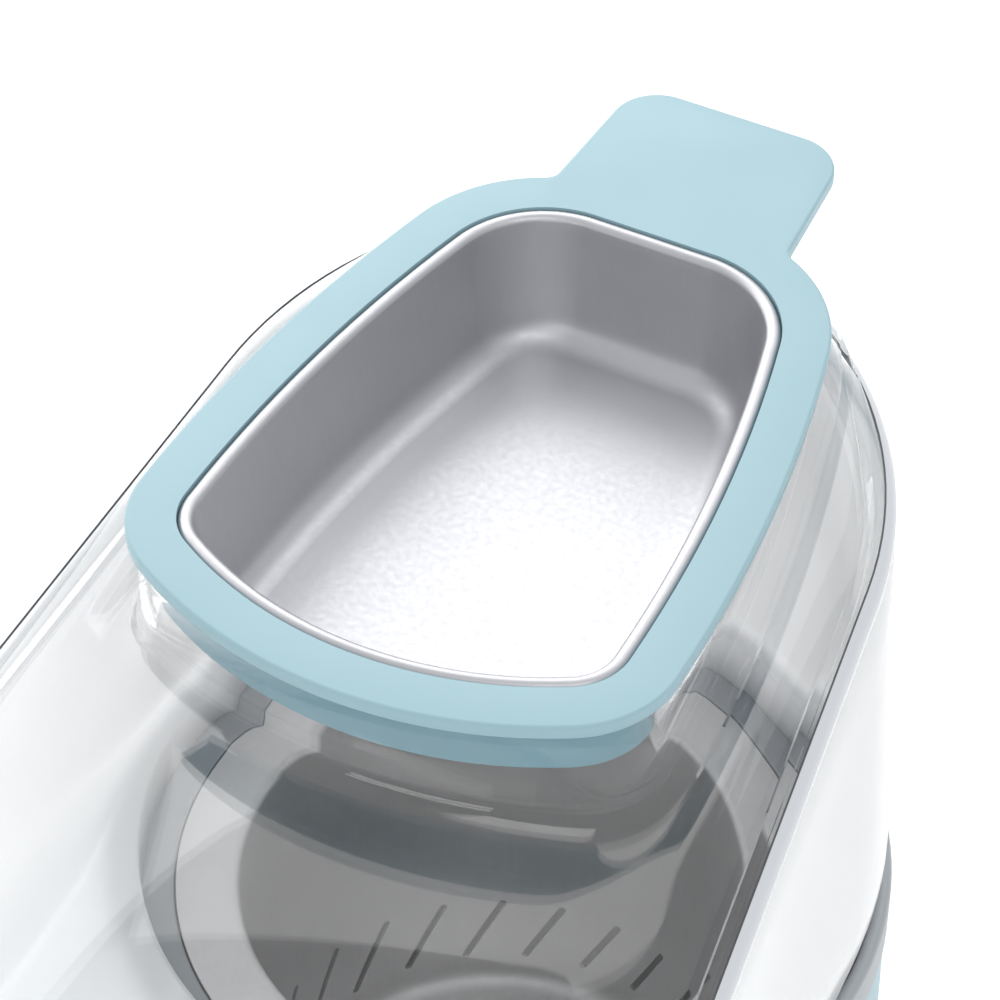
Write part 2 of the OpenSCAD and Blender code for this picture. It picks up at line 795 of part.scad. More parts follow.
module motor_brushes() {
    brush_l = 5;
    color("peru") around(2) {
        translate([commutator_r + 0.1, -1.5, commutator_z + 1.5]) cube([brush_l, 3, 4]);
        translate([lead_x, 0, board_z - 1]) cylinder(r = lead_r, h = commutator_z + 2 - board_z, $fn = 24);
        translate([commutator_r + brush_l - 1, -1, commutator_z + 1])
            cube([lead_x - commutator_r - brush_l + 1, 2, 3]);
    }
}

module motor_bushes() {
    color("darkgoldenrod") {
        tube(bush_r, shaft_r + run_gap, motor_top_z - motor_wall, motor_top_z - motor_wall + bush_l);
        tube(bush_r, shaft_r + run_gap, end_cap_z, end_cap_z + end_cap_t);
    }
}

module motor_screws() {
    color("gray") around(2, 90) translate([motor_screw_r, 0, fan_floor_z + screw_head_h])
        mirror([0, 0, 1]) screw_up(fan_floor_t + 2);
}

module rectifier_board() {
    color("seagreen") {
        difference() {
            translate([0, 0, board_z]) cylinder(r = motor_r - 0.6, h = board_t);
            around(2) translate([lead_x, 0, board_z - over])
                cylinder(r = lead_r + run_gap, h = board_t + 2 * over, $fn = 24);
        }
        for (x = [-4.5, 4.5]) for (y = [-6, 6])
            translate([x, y - 2.5, board_z - 1.2]) rotate([-90, 0, 0]) cylinder(r = 1.3, h = 5, $fn = 24);
    }
}

module motor_shaft() {
    color("lightgray") translate([0, 0, shaft_low_z]) cylinder(r = shaft_r, h = shaft_top_z - shaft_low_z);
}

module motor_armature() {
    color("saddlebrown") difference() {
        translate([0, 0, armature_z]) cylinder(r = armature_r, h = armature_l);
        translate([0, 0, armature_z - over]) cylinder(r = shaft_r, h = armature_l + 2 * over);
        around(5) translate([armature_r - 3.5, -1, armature_z - over]) cube([8, 2, armature_l + 2 * over]);
    }
}

module commutator() {
    color("peru") tube(commutator_r, shaft_r, commutator_z, commutator_z + commutator_l);
}

// One backward-leaning blade, seen from above
module blade_plan() {
    steps = 6;
    points = [for (i = [0:steps]) let (t = i / steps, r = mix(blade_root_r, impeller_r - 1, t))
        [r, -blade_turn * t * t]];
    left = [for (p = points) p.x * [cos(p.y), sin(p.y)]];
    right = [for (i = [steps:-1:0]) let (p = points[i], q = atan(blade_t / p.x))
        p.x * [cos(p.y + q), sin(p.y + q)]];
    polygon(concat(left, right));
}

module impeller() {
    color("whitesmoke") difference() {
        union() {
            translate([0, 0, impeller_plate_z]) cylinder(r = impeller_r, h = impeller_plate_t);
            translate([0, 0, blade_z + 1]) cylinder(r = hub_r, h = blade_h);
            translate([0, 0, blade_z]) around(blade_count) linear_extrude(blade_h + eps) blade_plan();
        }
        translate([0, 0, blade_z - over]) cylinder(r = shaft_r, h = 2 * blade_h);
    }
}

// ---- Switch and gland ----

module switch_case() {
    w = switch_w - 2 * case_gap;
    h = switch_h - 2 * case_gap;
    inner_w = w - 2 * case_wall;
    inner_h = h - 2 * case_wall;
    color("darkgray") translate([0, 0, switch_z]) difference() {
        union() {
            translate([pad_x - switch_depth, -w / 2, -h / 2]) cube([switch_depth + eps, w, h]);
            translate([pad_x, -w / 2 - bezel_w, -h / 2 - bezel_w])
                cube([bezel_t, w + 2 * bezel_w, h + 2 * bezel_w]);
        }
        translate([pad_x - 10, -inner_w / 2, -inner_h / 2]) cube([20, inner_w, inner_h]);
        translate([pivot_x, 0, 0]) rotate([90, 0, 0])
            cylinder(r = pivot_r + run_gap, h = w - 1, center = true);
    }
}

module switch_terminals() {
    color("peru") for (z = [-5, 0, 5]) translate([pad_x - switch_depth - 7, -2.4, switch_z + z - 0.4])
        cube([7, 4.8, 0.8]);
}

// The rocker rests tipped back at its lower half, and its pivot lies along Y
module switch_rocker() {
    w = switch_w - 2 * case_gap - 2 * case_wall - 2 * rocker_gap;
    h = switch_h - 2 * case_gap - 2 * case_wall - 2 * rocker_gap;
    color("dimgray") translate([pivot_x, 0, switch_z]) rotate([0, -rocker_swing / 2, 0]) {
        difference() {
            intersection() {
                translate([-1.5, -w / 2, -h / 2]) cube([12, w, h]);
                rotate([90, 0, 0]) cylinder(r = h / 2 + 0.6, h = w, center = true);
            }
            translate([rocker_r + 5.2, 0, 0]) rotate([90, 0, 0])
                cylinder(r = rocker_r, h = w + 2, center = true);
        }
        rotate([90, 0, 0]) cylinder(r = pivot_r, h = w + 2 * rocker_gap + 1.6, center = true);
    }
}

module cord_gland() {
    color("dimgray") translate([0, gland_pad_y, gland_z]) rotate([-90, 0, 0]) difference() {
        union() {
            cylinder(r = gland_r + 2.5, h = gland_flange_t);
            translate([0, 0, -gland_len]) cylinder(r = gland_r, h = gland_len + eps);
        }
        translate([0, 0, -gland_len - over]) cylinder(r = gland_bore_r, h = 2 * gland_len);
    }
}

module gland_nut() {
    color("dimgray") translate([0, gland_pad_y - 4 - gland_nut_t, gland_z]) rotate([-90, 0, 0])
        difference() {
            cylinder(r = gland_r + 3.5, h = gland_nut_t, $fn = 6);
            translate([0, 0, -over]) cylinder(r = gland_r, h = gland_nut_t + 2 * over);
        }
}

// ---- Chute ----

// The mouth leans forward from the lip's height to the top edge's
waist_z = base_h + 14;
lip_z = under_z - (lip_reach - floor_bend) * tan(floor_slope);
mouth_z = edge_level(-mouth_reach, 0);
function reach_at(z) = mix(lip_reach, mouth_reach, max(0, (z - lip_z) / (mouth_z - lip_z)));

// Outside or, with inset and ahead, inside of the chute as one closed form. Its
// walls go on past the top edge where stretch is over 1
module chute_form(inset, ahead, low_extra, stretch) {
    low = [
        [seat_r, seat_low_z - low_extra],
        [seat_r, deck_z + 3],
        [mix(seat_r, low_half_w, 0.25), under_z + 0.5],
        [mix(seat_r, low_half_w, 0.88), base_h + 6],
        [low_half_w, waist_z]];
    high = on_edge(chute_plan(1, low_half_w, mouth_reach + ahead, inset), 0);
    waist = at_level(chute_plan(0, low_half_w, reach_at(waist_z) + ahead, inset), waist_z);
    skin(concat(
        [for (v = low) at_level(chute_plan(0, v[0], reach_at(v[1]) + ahead, inset), v[1])],
        [for (t = [0.33, 0.67, 1]) between(waist, high, t * stretch)]));
}

// The space below the chute's floor, as seen from the side
module under_floor(lift) {
    far = 200;
    reach = far - floor_bend;
    rotate([90, 0, 90]) translate([0, 0, -far]) linear_extrude(2 * far) polygon([
        [far, under_z + lift], [-floor_bend, under_z + lift],
        [-far, under_z + lift - reach * tan(floor_slope)], [-far, 0], [far, 0]]);
}

module chute_body() {
    keep_r = rim_in_r - 1;
    color("white") difference() {
        chute_form(0, 0, 0, 1);
        difference() {
            under_floor(0);
            cylinder(r = keep_r, h = 2 * base_h);
        }
        difference() {
            chute_form(chute_wall, 20, 10, 1.3);
            difference() {
                under_floor(chute_wall);
                cylinder(r = seat_in_r, h = 2 * base_h);
            }
        }
    }
}

// ---- Clear top ----

// Height of the clear top at the collar's foot
function crown_z(p) =
    min(edge_z + crown_h + crown_tan * p.y - crown_fall * pow(p.x / ring_half_w, 2), collar_top_z - 1);

// The mouth's top edge is arched: its lift above the edge plane
mouth_arch = crown_h + mouth_reach * (slope - crown_tan) / 2;

// The clear top's edge, moved in by inset. Only its front is arched, and only
// the rest of it hangs down by lip
function window_edge(inset, lift, lip = 0) =
    let (plan = chute_plan(1, low_half_w, mouth_reach - inset, inset), w = plan[n_front].x)
    [for (i = [0:len(plan) - 1]) let (p = plan[i], front = min(i, len(plan) - i) <= n_front)
        [p.x, p.y, edge_level(p.y, lift) + (front ? mouth_arch * (1 - pow(p.x / w, 2)) : -lip)]];

// A ring between two others, at one share of the way and another of the rise
function blend(a, b, way, up) =
    [for (i = [0:len(a) - 1]) [mix(a[i].x, b[i].x, way), mix(a[i].y, b[i].y, way), mix(a[i].z, b[i].z, up)]];

module chute_window() {
    shares = [0.06, 0.16, 0.32, 0.55, 0.8];
    rise = [for (s = shares) 1 - pow(1 - s, 1.7)];
    top_edge = window_edge(band_lean, band_h);
    foot = [for (p = cup_plan(collar_out - collar_foot)) [p.x, p.y, crown_z(p)]];
    in_edge = window_edge(chute_wall + lip_gap + window_lip_t, band_h - window_t);
    in_foot = [for (p = cup_plan(collar_in)) [p.x, p.y, crown_z(p) - window_t]];
    body = [for (i = [0:len(shares) - 1]) blend(top_edge, foot, shares[i], rise[i])];
    in_body = [for (i = [len(shares) - 1:-1:0]) blend(in_edge, in_foot, shares[i], rise[i])];
    neck = [for (p = cup_plan(collar_out)) [p.x, p.y, min(crown_z(p) + 2, collar_top_z - 0.5)]];
    lip_inset = chute_wall + lip_gap;
    // the lip leans in as much as the chute's walls do at the mouth
    lean = (top_edge[n_front].x - low_half_w) / (mouth_z - waist_z) * window_lip_h;
    color("lightcyan", 0.4) skin(concat(
        [window_edge(0, slip), window_edge(0, band_h - band_fall), top_edge],
        body,
        [foot, neck, at_level(cup_plan(collar_out), collar_top_z),
            at_level(cup_plan(collar_in), collar_top_z), in_foot],
        in_body,
        [in_edge,
            window_edge(lip_inset + lean + window_lip_t, slip, window_lip_h),
            window_edge(lip_inset + lean, slip, window_lip_h),
            window_edge(lip_inset, slip)]), loop = true);
}

// ---- Butter cup ----

ledge_top_z = cup_top_z - 2;
skirt_low_z = cup_top_z - ring_t - skirt_h;

module cup_band(inset_out, inset_in, z0, z1) {
    translate([0, 0, z0]) linear_extrude(z1 - z0) difference() {
        polygon(cup_plan(inset_out));
        polygon(cup_plan(inset_in));
    }
}

module handle_plan() {
    root_y = ring_back - 6;
    c = [handle_end_w - handle_corner_r, handle_reach - handle_corner_r];
    half = concat([[handle_root_w, root_y]], arc(c, handle_corner_r, 0, 90, 8), [[c.x, handle_reach]]);
    polygon(concat(half, [for (i = [len(half) - 1:-1:0]) [-half[i].x, half[i].y]]));
}

module cup_frame() {
    color("powderblue") {
        cup_band(0, ring_border, cup_top_z - ring_t, cup_top_z);
        cup_band(skirt_inset(), skirt_inset() + skirt_t, skirt_low_z, cup_top_z - ring_t + eps);
        cup_band(ring_border - eps, ring_border + 1.4, cup_top_z - ring_t, ledge_top_z);
        translate([0, 0, cup_top_z - ring_t]) linear_extrude(ring_t) handle_plan();
    }
}

module cup_tray() {
    inset = tray_inset();
    in = inset + tray_rim_w;
    floor_z = cup_top_z - tray_depth;
    wall_out = in - tray_wall;
    bend = [for (i = [0:4]) let (a = i * 22.5) [tray_bend_r * (1 - cos(a)), tray_bend_r * (1 - sin(a))]];
    outside = [for (i = [4:-1:0])
        at_level(cup_plan(wall_out + tray_lean + bend[i][0]), floor_z + bend[i][1] - tray_wall)];
    inside = [for (i = [0:4]) at_level(cup_plan(in + tray_lean + bend[i][0]), floor_z + bend[i][1])];
    color("gainsboro") skin(concat(outside, [
        at_level(cup_plan(wall_out), ledge_top_z),
        at_level(cup_plan(inset), ledge_top_z),
        at_level(cup_plan(inset), cup_top_z - 0.6),
        at_level(cup_plan(inset + 0.6), cup_top_z),
        at_level(cup_plan(in - 0.6), cup_top_z),
        at_level(cup_plan(in), cup_top_z - 0.8)], inside));
}

housing();
rim_ring();
base_plate();
feet();
base_screws();
chamber_carrier();
carrier_screws();
popping_chamber();
air_duct();
duct_screws();
fan_housing();
heater_spider();
mica_board_a();
mica_board_b();
heater_coil();
thermostat();
thermal_fuse();
motor_can();
motor_end_cap();
motor_magnets();
motor_brushes();
motor_bushes();
motor_screws();
rectifier_board();
motor_shaft();
motor_armature();
commutator();
impeller();
switch_case();
switch_terminals();
switch_rocker();
cord_gland();
gland_nut();
chute_body();
chute_window();
cup_frame();
cup_tray();
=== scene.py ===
# %% [markdown]
# # A hot-air popcorn maker, dressed in Blender
#
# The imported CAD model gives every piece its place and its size. Here each
# surface that shows gets the soft edges, curves and finish of the real thing.
# On top hangs a butter cup: a pale blue ring with a flat handle, and a drawn
# aluminium tray. It sits in the collar of a clear top. Below are the white
# chute, a grey rim and the pale blue base with its fan.

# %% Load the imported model
from math import asin, atan2, cos, degrees, pi, radians, sin, sqrt, tan

import bmesh
import bpy
from mathutils import Matrix, Vector


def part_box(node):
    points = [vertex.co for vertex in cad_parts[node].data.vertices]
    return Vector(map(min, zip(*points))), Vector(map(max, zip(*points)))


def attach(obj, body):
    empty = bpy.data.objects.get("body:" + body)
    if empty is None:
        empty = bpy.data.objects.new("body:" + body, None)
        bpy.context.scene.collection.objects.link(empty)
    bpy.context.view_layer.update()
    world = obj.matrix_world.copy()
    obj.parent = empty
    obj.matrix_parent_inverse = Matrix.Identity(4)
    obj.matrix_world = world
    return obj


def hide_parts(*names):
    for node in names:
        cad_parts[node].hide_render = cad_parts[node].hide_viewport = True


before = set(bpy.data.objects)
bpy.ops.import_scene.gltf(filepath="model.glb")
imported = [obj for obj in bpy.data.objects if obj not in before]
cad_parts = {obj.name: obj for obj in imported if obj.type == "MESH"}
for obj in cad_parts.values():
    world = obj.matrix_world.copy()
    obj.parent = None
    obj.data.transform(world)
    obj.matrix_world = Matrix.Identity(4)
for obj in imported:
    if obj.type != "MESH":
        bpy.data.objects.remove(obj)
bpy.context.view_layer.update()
MM = 0.001

# %% [markdown]
# ## Camera
#
# A long lens from above and a little to the right, as for a product picture.
# The camera is aimed by a direction: a camera looks along its own -Z with +Y
# up, and to_track_quat turns that towards the target. It is close to the cup,
# so only the top of the machine is in view.

# %% Camera
bpy.ops.object.camera_add(location=(0.2224, -0.4304, 0.7796))
camera = bpy.context.object
camera.name = "camera"
target = Vector((0.00618, -0.010, 0.310))
camera.rotation_euler = (target - camera.location).to_track_quat("-Z", "Y").to_euler()
camera.data.lens = 144
camera.data.sensor_width = 36
camera.data.clip_start = 0.05
bpy.context.scene.camera = camera
print("camera to cup, mm:", round((target - camera.location).length / MM))

# %% [markdown]
# ## Floor and light
#
# The set is a white table top that runs out of view, a pale even sky and
# three large soft lamps. The key stands high behind the machine, where the
# clear roof and the tray mirror it to the camera. The strongest is the side
# lamp at the left, which also glows through the chute's white wall. A fill
# high on the right reaches into the chute, and a narrow strip gives the clear
# top its glints. The Standard view keeps whites white.

# %% Floor
bpy.ops.mesh.primitive_plane_add(size=12)
floor = bpy.context.object
floor.name = "floor"
paper = bpy.data.materials.new("white_paper_sweep")
paper.use_nodes = True
paper_sockets = paper.node_tree.nodes["Principled BSDF"].inputs
paper_sockets["Base Color"].default_value = (0.98, 0.98, 0.98, 1)
paper_sockets["Emission Color"].default_value = (1, 1, 1, 1)
paper_sockets["Emission Strength"].default_value = 0.16
paper_sockets["Roughness"].default_value = 0.9
floor.data.materials.append(paper)
print("floor:", [round(s, 1) for s in floor.dimensions], "m")

# %% Light
scene = bpy.context.scene
scene.view_settings.view_transform = "Standard"
world = bpy.data.worlds.new("soft_sky")
scene.world = world
world.use_nodes = True
sky = world.node_tree.nodes["Background"]
sky.inputs["Color"].default_value = (0.97, 0.985, 1.0, 1)
sky.inputs["Strength"].default_value = 0.68


def soft_lamp(name, place, at, size, power):
    """A rectangular area lamp that faces a point."""
    bpy.ops.object.light_add(type="AREA", location=place)
    lamp = bpy.context.object
    lamp.name = name
    lamp.rotation_euler = (Vector(at) - Vector(place)).to_track_quat("-Z", "Y").to_euler()
    lamp.data.shape = "RECTANGLE"
    lamp.data.size, lamp.data.size_y = size
    lamp.data.energy = power
    return lamp


cup_middle = (0, 0.02, 0.29)
soft_lamp("key", (-0.15, 1.05, 1.5), cup_middle, (1.8, 1.3), 7.5)
soft_lamp("side", (-1.2, 0.7, 1.0), cup_middle, (2.2, 1.6), 17)
soft_lamp("fill", (0.75, -0.75, 1.6), cup_middle, (1.0, 0.8), 3.4)
soft_lamp("glint", (0.1, -1.3, 0.75), cup_middle, (0.9, 0.12), 1.0)

# %% [markdown]
# ## Helpers for modelling by hand
#
# Most pieces here are shells: an outline is drawn once as a ring, then pulled
# up ring by ring, as one would do with E in edit mode. Each vertex carries its
# number in the outline and the number of its ring in two integer layers.
# Extrude copies them, so the new ring's vertices can be put on the next outline
# in the right order, and a stretch of rings can be picked later.

# %% Ring helpers
def start_rings(name, points):
    """A new piece in edit mode: a circle primitive whose vertices lie on the points."""
    bpy.ops.object.select_all(action="DESELECT")
    bpy.ops.mesh.primitive_circle_add(vertices=len(points), radius=0.05, enter_editmode=True)
    piece = bpy.context.object
    piece.name = piece.data.name = name
    mesh = bmesh.from_edit_mesh(piece.data)
    mesh.verts.layers.int.new("place")
    mesh.verts.layers.int.new("level")
    place = mesh.verts.layers.int["place"]
    for i, (v, p) in enumerate(zip(mesh.verts, points)):
        v[place] = i
        v.co = p
    bpy.ops.mesh.select_all(action="SELECT")
    return piece


def pull_ring(piece, points):
    """Extrudes the selected ring and puts the new one on the points."""
    bpy.ops.mesh.extrude_edges_move()
    mesh = bmesh.from_edit_mesh(piece.data)
    place, level = mesh.verts.layers.int["place"], mesh.verts.layers.int["level"]
    for v in mesh.verts:
        if v.select:
            v.co = points[v[place]]
            v[level] += 1
    bmesh.update_edit_mesh(piece.data)


def shell(name, rings):
    """A piece pulled through all the rings, left in edit mode with the last ring selected."""
    piece = start_rings(name, rings[0])
    for points in rings[1:]:
        pull_ring(piece, points)
    return piece


def pick(piece, kind, test):
    """Selects only the vertices, edges or faces that pass the test."""
    bpy.ops.mesh.select_all(action="DESELECT")
    bpy.ops.mesh.select_mode(type=kind)
    mesh = bmesh.from_edit_mesh(piece.data)
    mesh.normal_update()
    parts = {"VERT": mesh.verts, "EDGE": mesh.edges, "FACE": mesh.faces}[kind]
    chosen = [part for part in parts if test(part)]
    for part in chosen:
        part.select_set(True)
    mesh.select_flush_mode()
    bmesh.update_edit_mesh(piece.data)
    return len(chosen)


def close_ends(piece):
    """Joins the first and the last ring, so that the shell is one closed solid."""
    pick(piece, "EDGE", lambda e: e.is_boundary)
    bpy.ops.mesh.bridge_edge_loops()


def fill_ends():
    """Gives an open shell a flat face at each end."""
    bpy.ops.mesh.select_all(action="SELECT")
    bpy.ops.mesh.fill_holes(sides=0)


def between_rings(piece, first, last):
    """A test for the faces that lie between two rings, both counted from 0."""
    level = bmesh.from_edit_mesh(piece.data).verts.layers.int["level"]
    return lambda face: all(first <= v[level] <= last for v in face.verts)


def middle(edge):
    return (edge.verts[0].co + edge.verts[1].co) / 2


print("ring helpers are ready")

# %% [markdown]
# ## Finishing a piece
#
# Doubles are merged and the normals turned outwards first. A bevel on all
# sharp edges gives each one the small radius that moulded or pressed parts
# have, and that catches the light. Smooth shading by angle comes last.

# %% Finish helper
def leave_edit(piece, recalc=True):
    """Merges doubles, turns the faces outwards and goes back to object mode."""
    mesh = bmesh.from_edit_mesh(piece.data)
    for name in ("place", "level"):
        if name in mesh.verts.layers.int:
            mesh.verts.layers.int.remove(mesh.verts.layers.int[name])
    bpy.ops.mesh.select_mode(type="VERT")
    bpy.ops.mesh.select_all(action="SELECT")
    bpy.ops.mesh.remove_doubles(threshold=0.001 * MM)
    if recalc:
        bpy.ops.mesh.normals_make_consistent(inside=False)
    bpy.ops.mesh.select_all(action="DESELECT")
    bpy.ops.object.mode_set(mode="OBJECT")


def apply(piece, kind, **settings):
    """Adds one modifier with its settings and applies it."""
    bpy.ops.object.select_all(action="DESELECT")
    piece.select_set(True)
    bpy.context.view_layer.objects.active = piece
    modifier = piece.modifiers.new(kind.title(), kind)
    for name, value in settings.items():
        setattr(modifier, name, value)
    bpy.ops.object.modifier_apply(modifier=modifier.name)


def smooth(piece, edge=0, steps=3, bevel_from=35, smooth_to=40):
    """Rounds the sharp edges by edge millimetres and shades the piece smooth."""
    if edge:
        apply(piece, "BEVEL", width=edge * MM, segments=steps, limit_method="ANGLE",
              angle_limit=radians(bevel_from), use_clamp_overlap=True, miter_outer="MITER_ARC")
    bpy.ops.object.select_all(action="DESELECT")
    piece.select_set(True)
    bpy.context.view_layer.objects.active = piece
    bpy.ops.object.shade_smooth_by_angle(angle=radians(smooth_to))
    triangles = sum(len(p.vertices) - 2 for p in piece.data.polygons)
    size = [round(s / MM, 1) for s in piece.dimensions]
    print(f"{piece.name}: {triangles} triangles, {size} mm")


print("finish helpers are ready")

# %% [markdown]
# ## Outlines
#
# Two outlines shape the whole top. The cup's ring is drawn from four arcs on
# each side: a bowed front, a front corner, a long bowed side and a wide back
# corner. The chute has a round back, two straight sides that open a little,
# and a bowed front. Both have the same number of points, so that the clear
# top can run from one to the other.

# %% Numbers of points and arcs
FRONT, CORNER, SIDE, BACK = 14, 14, 14, 26


def mix(a, b, t):
    return a + (b - a) * t


def arc(centre, r, a0, a1, n):
    """n points on an arc, without its end, with angles in degrees."""
    turns = [radians(mix(a0, a1, i / n)) for i in range(n)]
    return [Vector((centre[0] + r * cos(t), centre[1] + r * sin(t))) for t in turns]


def line(a, b, t0, t1, n):
    return [a.lerp(b, mix(t0, t1, i / n)) for i in range(n)]


def aim(a, b):
    return degrees(atan2(b[1] - a[1], b[0] - a[0]))


def whole(half, back):
    """Mirrors half an outline, which starts at the front middle, into a whole one."""
    return half + [back] + [Vector((-p.x, p.y)) for p in reversed(half[1:])]


def at_level(plan, z):
    return [Vector((p.x, p.y, z)) for p in plan]


print("points in each outline:", 2 * (FRONT + CORNER + SIDE + BACK))

# %% The cup's outline
frame_low, frame_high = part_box("cup_frame")
tray_low, tray_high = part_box("cup_tray")
cup_top = frame_high.z
ring_half_w = frame_high.x
ring_front = -frame_low.y
handle_end = frame_high.y
ring_back = 71 * MM
front_corner_r, back_corner_r = 20 * MM, 29.7 * MM
front_bow_r, side_bow_r = 79.6 * MM, 320 * MM
bow_centre = Vector((0, front_bow_r - ring_front))
corner_x = ring_half_w - front_corner_r
front_corner = Vector((corner_x, bow_centre.y - sqrt((front_bow_r - front_corner_r) ** 2 - corner_x ** 2)))
back_corner = Vector((11.4 * MM, ring_back - back_corner_r))


def where_circles_meet(a, ra, b, rb):
    """The meeting point of two circles on the side of smaller x."""
    d = (b - a).length
    u = (b - a) / d
    along = (ra * ra - rb * rb + d * d) / (2 * d)
    off = sqrt(ra * ra - along * along)
    return a + u * along + off * Vector((-u.y, u.x))


side_centre = where_circles_meet(front_corner, side_bow_r - front_corner_r,
                                 back_corner, side_bow_r - back_corner_r)


def cup_plan(inset):
    """The cup ring's outline, moved in by inset."""
    a1, a2, a3 = aim(bow_centre, front_corner), aim(side_centre, front_corner), aim(side_centre, back_corner)
    return whole(
        arc(bow_centre, front_bow_r - inset, -90, a1, FRONT)
        + arc(front_corner, front_corner_r - inset, a1, a2, CORNER)
        + arc(side_centre, side_bow_r - inset, a2, a3, SIDE)
        + arc(back_corner, back_corner_r - inset, a3, 90, BACK),
        Vector((0, ring_back - inset)))


ring_long = ring_front + ring_back
print("cup ring, mm:", round(2 * ring_half_w / MM, 1), "wide,", round(ring_long / MM, 1), "long")

# %% The chute's outline
seat_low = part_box("chute_body")[0].z
rim_low, rim_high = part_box("rim_ring")
rim_top = rim_high.z
seat_r = 69 * MM
wall = 2.4 * MM
low_half_w = 72.4 * MM
back_r, back_y = 65 * MM, 10 * MM
flare = 6.25
mouth_bow = 10 * MM
mouth_reach = -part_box("chute_window")[0].y
lip_reach = 130 * MM
edge_z = 281.5 * MM
edge_slope = tan(radians(12.5))
floor_bend, floor_slope = 82 * MM, tan(radians(10))
under_z = rim_top + 1.5 * MM
waist_z = rim_top + 14 * MM


def chute_plan(t, r_low, reach, inset=0):
    """The chute's outline at the share t of its height, with its front middle at reach."""
    r, c, f = mix(r_low, back_r, t), Vector((0, mix(0, back_y, t))), mix(0, flare, t)
    corner_y = -reach + mouth_bow
    leaves = c + (r - inset) * Vector((cos(radians(f)), sin(radians(f))))
    w = leaves.x + (leaves.y - corner_y) * tan(radians(f))
    bow_r = (w * w + mouth_bow ** 2) / (2 * mouth_bow)
    corner = Vector((w, corner_y))
    return whole(
        arc((0, -reach + bow_r), bow_r, -90, -90 + degrees(asin(w / bow_r)), FRONT)
        + line(corner, leaves, 0, 0.3, CORNER) + line(corner, leaves, 0.3, 1, SIDE)
        + arc(c, r - inset, f, 90, BACK),
        Vector((0, c.y + r - inset)))


def round_plan(r):
    """A circle with a point in the direction of each one of the chute's low outline."""
    return [p.normalized() * r for p in chute_plan(0, low_half_w, lip_reach)]


def edge_level(y, lift=0):
    """Height of the sloping plane that the chute's top edge lies in."""
    return edge_z + edge_slope * y + lift


def on_edge(plan, lift=0):
    return [Vector((p.x, p.y, edge_level(p.y, lift))) for p in plan]


lip_z = under_z - (lip_reach - floor_bend) * floor_slope
mouth_z = edge_level(-mouth_reach)
print("chute mouth, mm:", round(lip_z / MM, 1), "to", round(mouth_z / MM, 1))

# %% [markdown]
# ## Materials
#
# A material starts from what the real part is made of and how its surface was
# made. Colours are given as sRGB hex, which one function turns to linear, and
# every pattern is scaled from a real size in millimetres on Object
# coordinates, so it sticks to the piece. One small function adds any node with
# its settings and links.

# %% Material helpers
def colour(hex_code, alpha=1.0):
    """sRGB hex to linear."""
    parts = [int(hex_code[i:i + 2], 16) / 255 for i in (0, 2, 4)]
    return [c / 12.92 if c <= 0.04045 else ((c + 0.055) / 1.055) ** 2.4 for c in parts] + [alpha]


def out(node, name=None):
    """A node's output in use, by name or else the first."""
    return next(s for s in node.outputs if s.enabled and name in (None, s.name))


def add(tree, kind, sockets=None, **settings):
    """One shader node, with its own settings and its sockets' values or links."""
    node = tree.nodes.new(kind)
    for name, value in settings.items():
        setattr(node, name, value)
    for name, value in (sockets or {}).items():
        socket = next(s for s in node.inputs if s.enabled and s.name == name)
        if isinstance(value, bpy.types.NodeSocket):
            tree.links.new(value, socket)
        else:
            socket.default_value = value
    return node


def new_material(name):
    """An empty material, its node tree and its Object coordinates in metres."""
    material = bpy.data.materials.new(name)
    material.use_nodes = True
    tree = material.node_tree
    tree.nodes.clear()
    return material, tree, out(add(tree, "ShaderNodeTexCoord"), "Object")


def show(tree, shader):
    add(tree, "ShaderNodeOutputMaterial", {"Surface": out(shader)})


def per_mm(size):
    """Noise scale for a pattern of that size in millimetres."""
    return 1 / (size * MM)


def drifting(tree, place, base, other, size=45):
    """A colour that drifts slowly between two close shades over the surface."""
    drift = add(tree, "ShaderNodeTexNoise", {"Vector": place, "Scale": per_mm(size), "Detail": 3.0})
    return out(add(tree, "ShaderNodeMix", {
        "Factor": out(drift, "Fac"), "A": colour(base), "B": colour(other)}, data_type="RGBA"))


def uneven(tree, place, middle_value, spread, size=9):
    """A roughness that varies a little, as handling and the tool leave it."""
    wear = add(tree, "ShaderNodeTexNoise", {"Vector": place, "Scale": per_mm(size), "Detail": 5.0})
    return out(add(tree, "ShaderNodeMapRange", {
        "Value": out(wear, "Fac"), "From Min": 0.3, "From Max": 0.7,
        "To Min": middle_value - spread / 2, "To Max": middle_value + spread / 2}))


def grainy(tree, place, size, depth, strength=0.5):
    """A bump from fine grain of that size, both in millimetres."""
    grain = add(tree, "ShaderNodeTexNoise", {"Vector": place, "Scale": per_mm(size), "Detail": 2.0})
    return out(add(tree, "ShaderNodeBump", {
        "Height": out(grain, "Fac"), "Strength": strength, "Distance": depth * MM}))


print("white in linear light:", [round(c, 3) for c in colour("F6F6F8")])

# %% [markdown]
# ### Plastics
#
# The cup's ring and the housing are polypropylene in one pale blue,
# moulded in a tool with a fine satin grain: broad, soft highlights. The chute
# is glossy white ABS from a polished tool: sharp highlights with a slight
# wave, and light soaks through its thin walls, so it glows a little inside.
# The rim is a mid grey satin. Small technical parts are dark nylon.

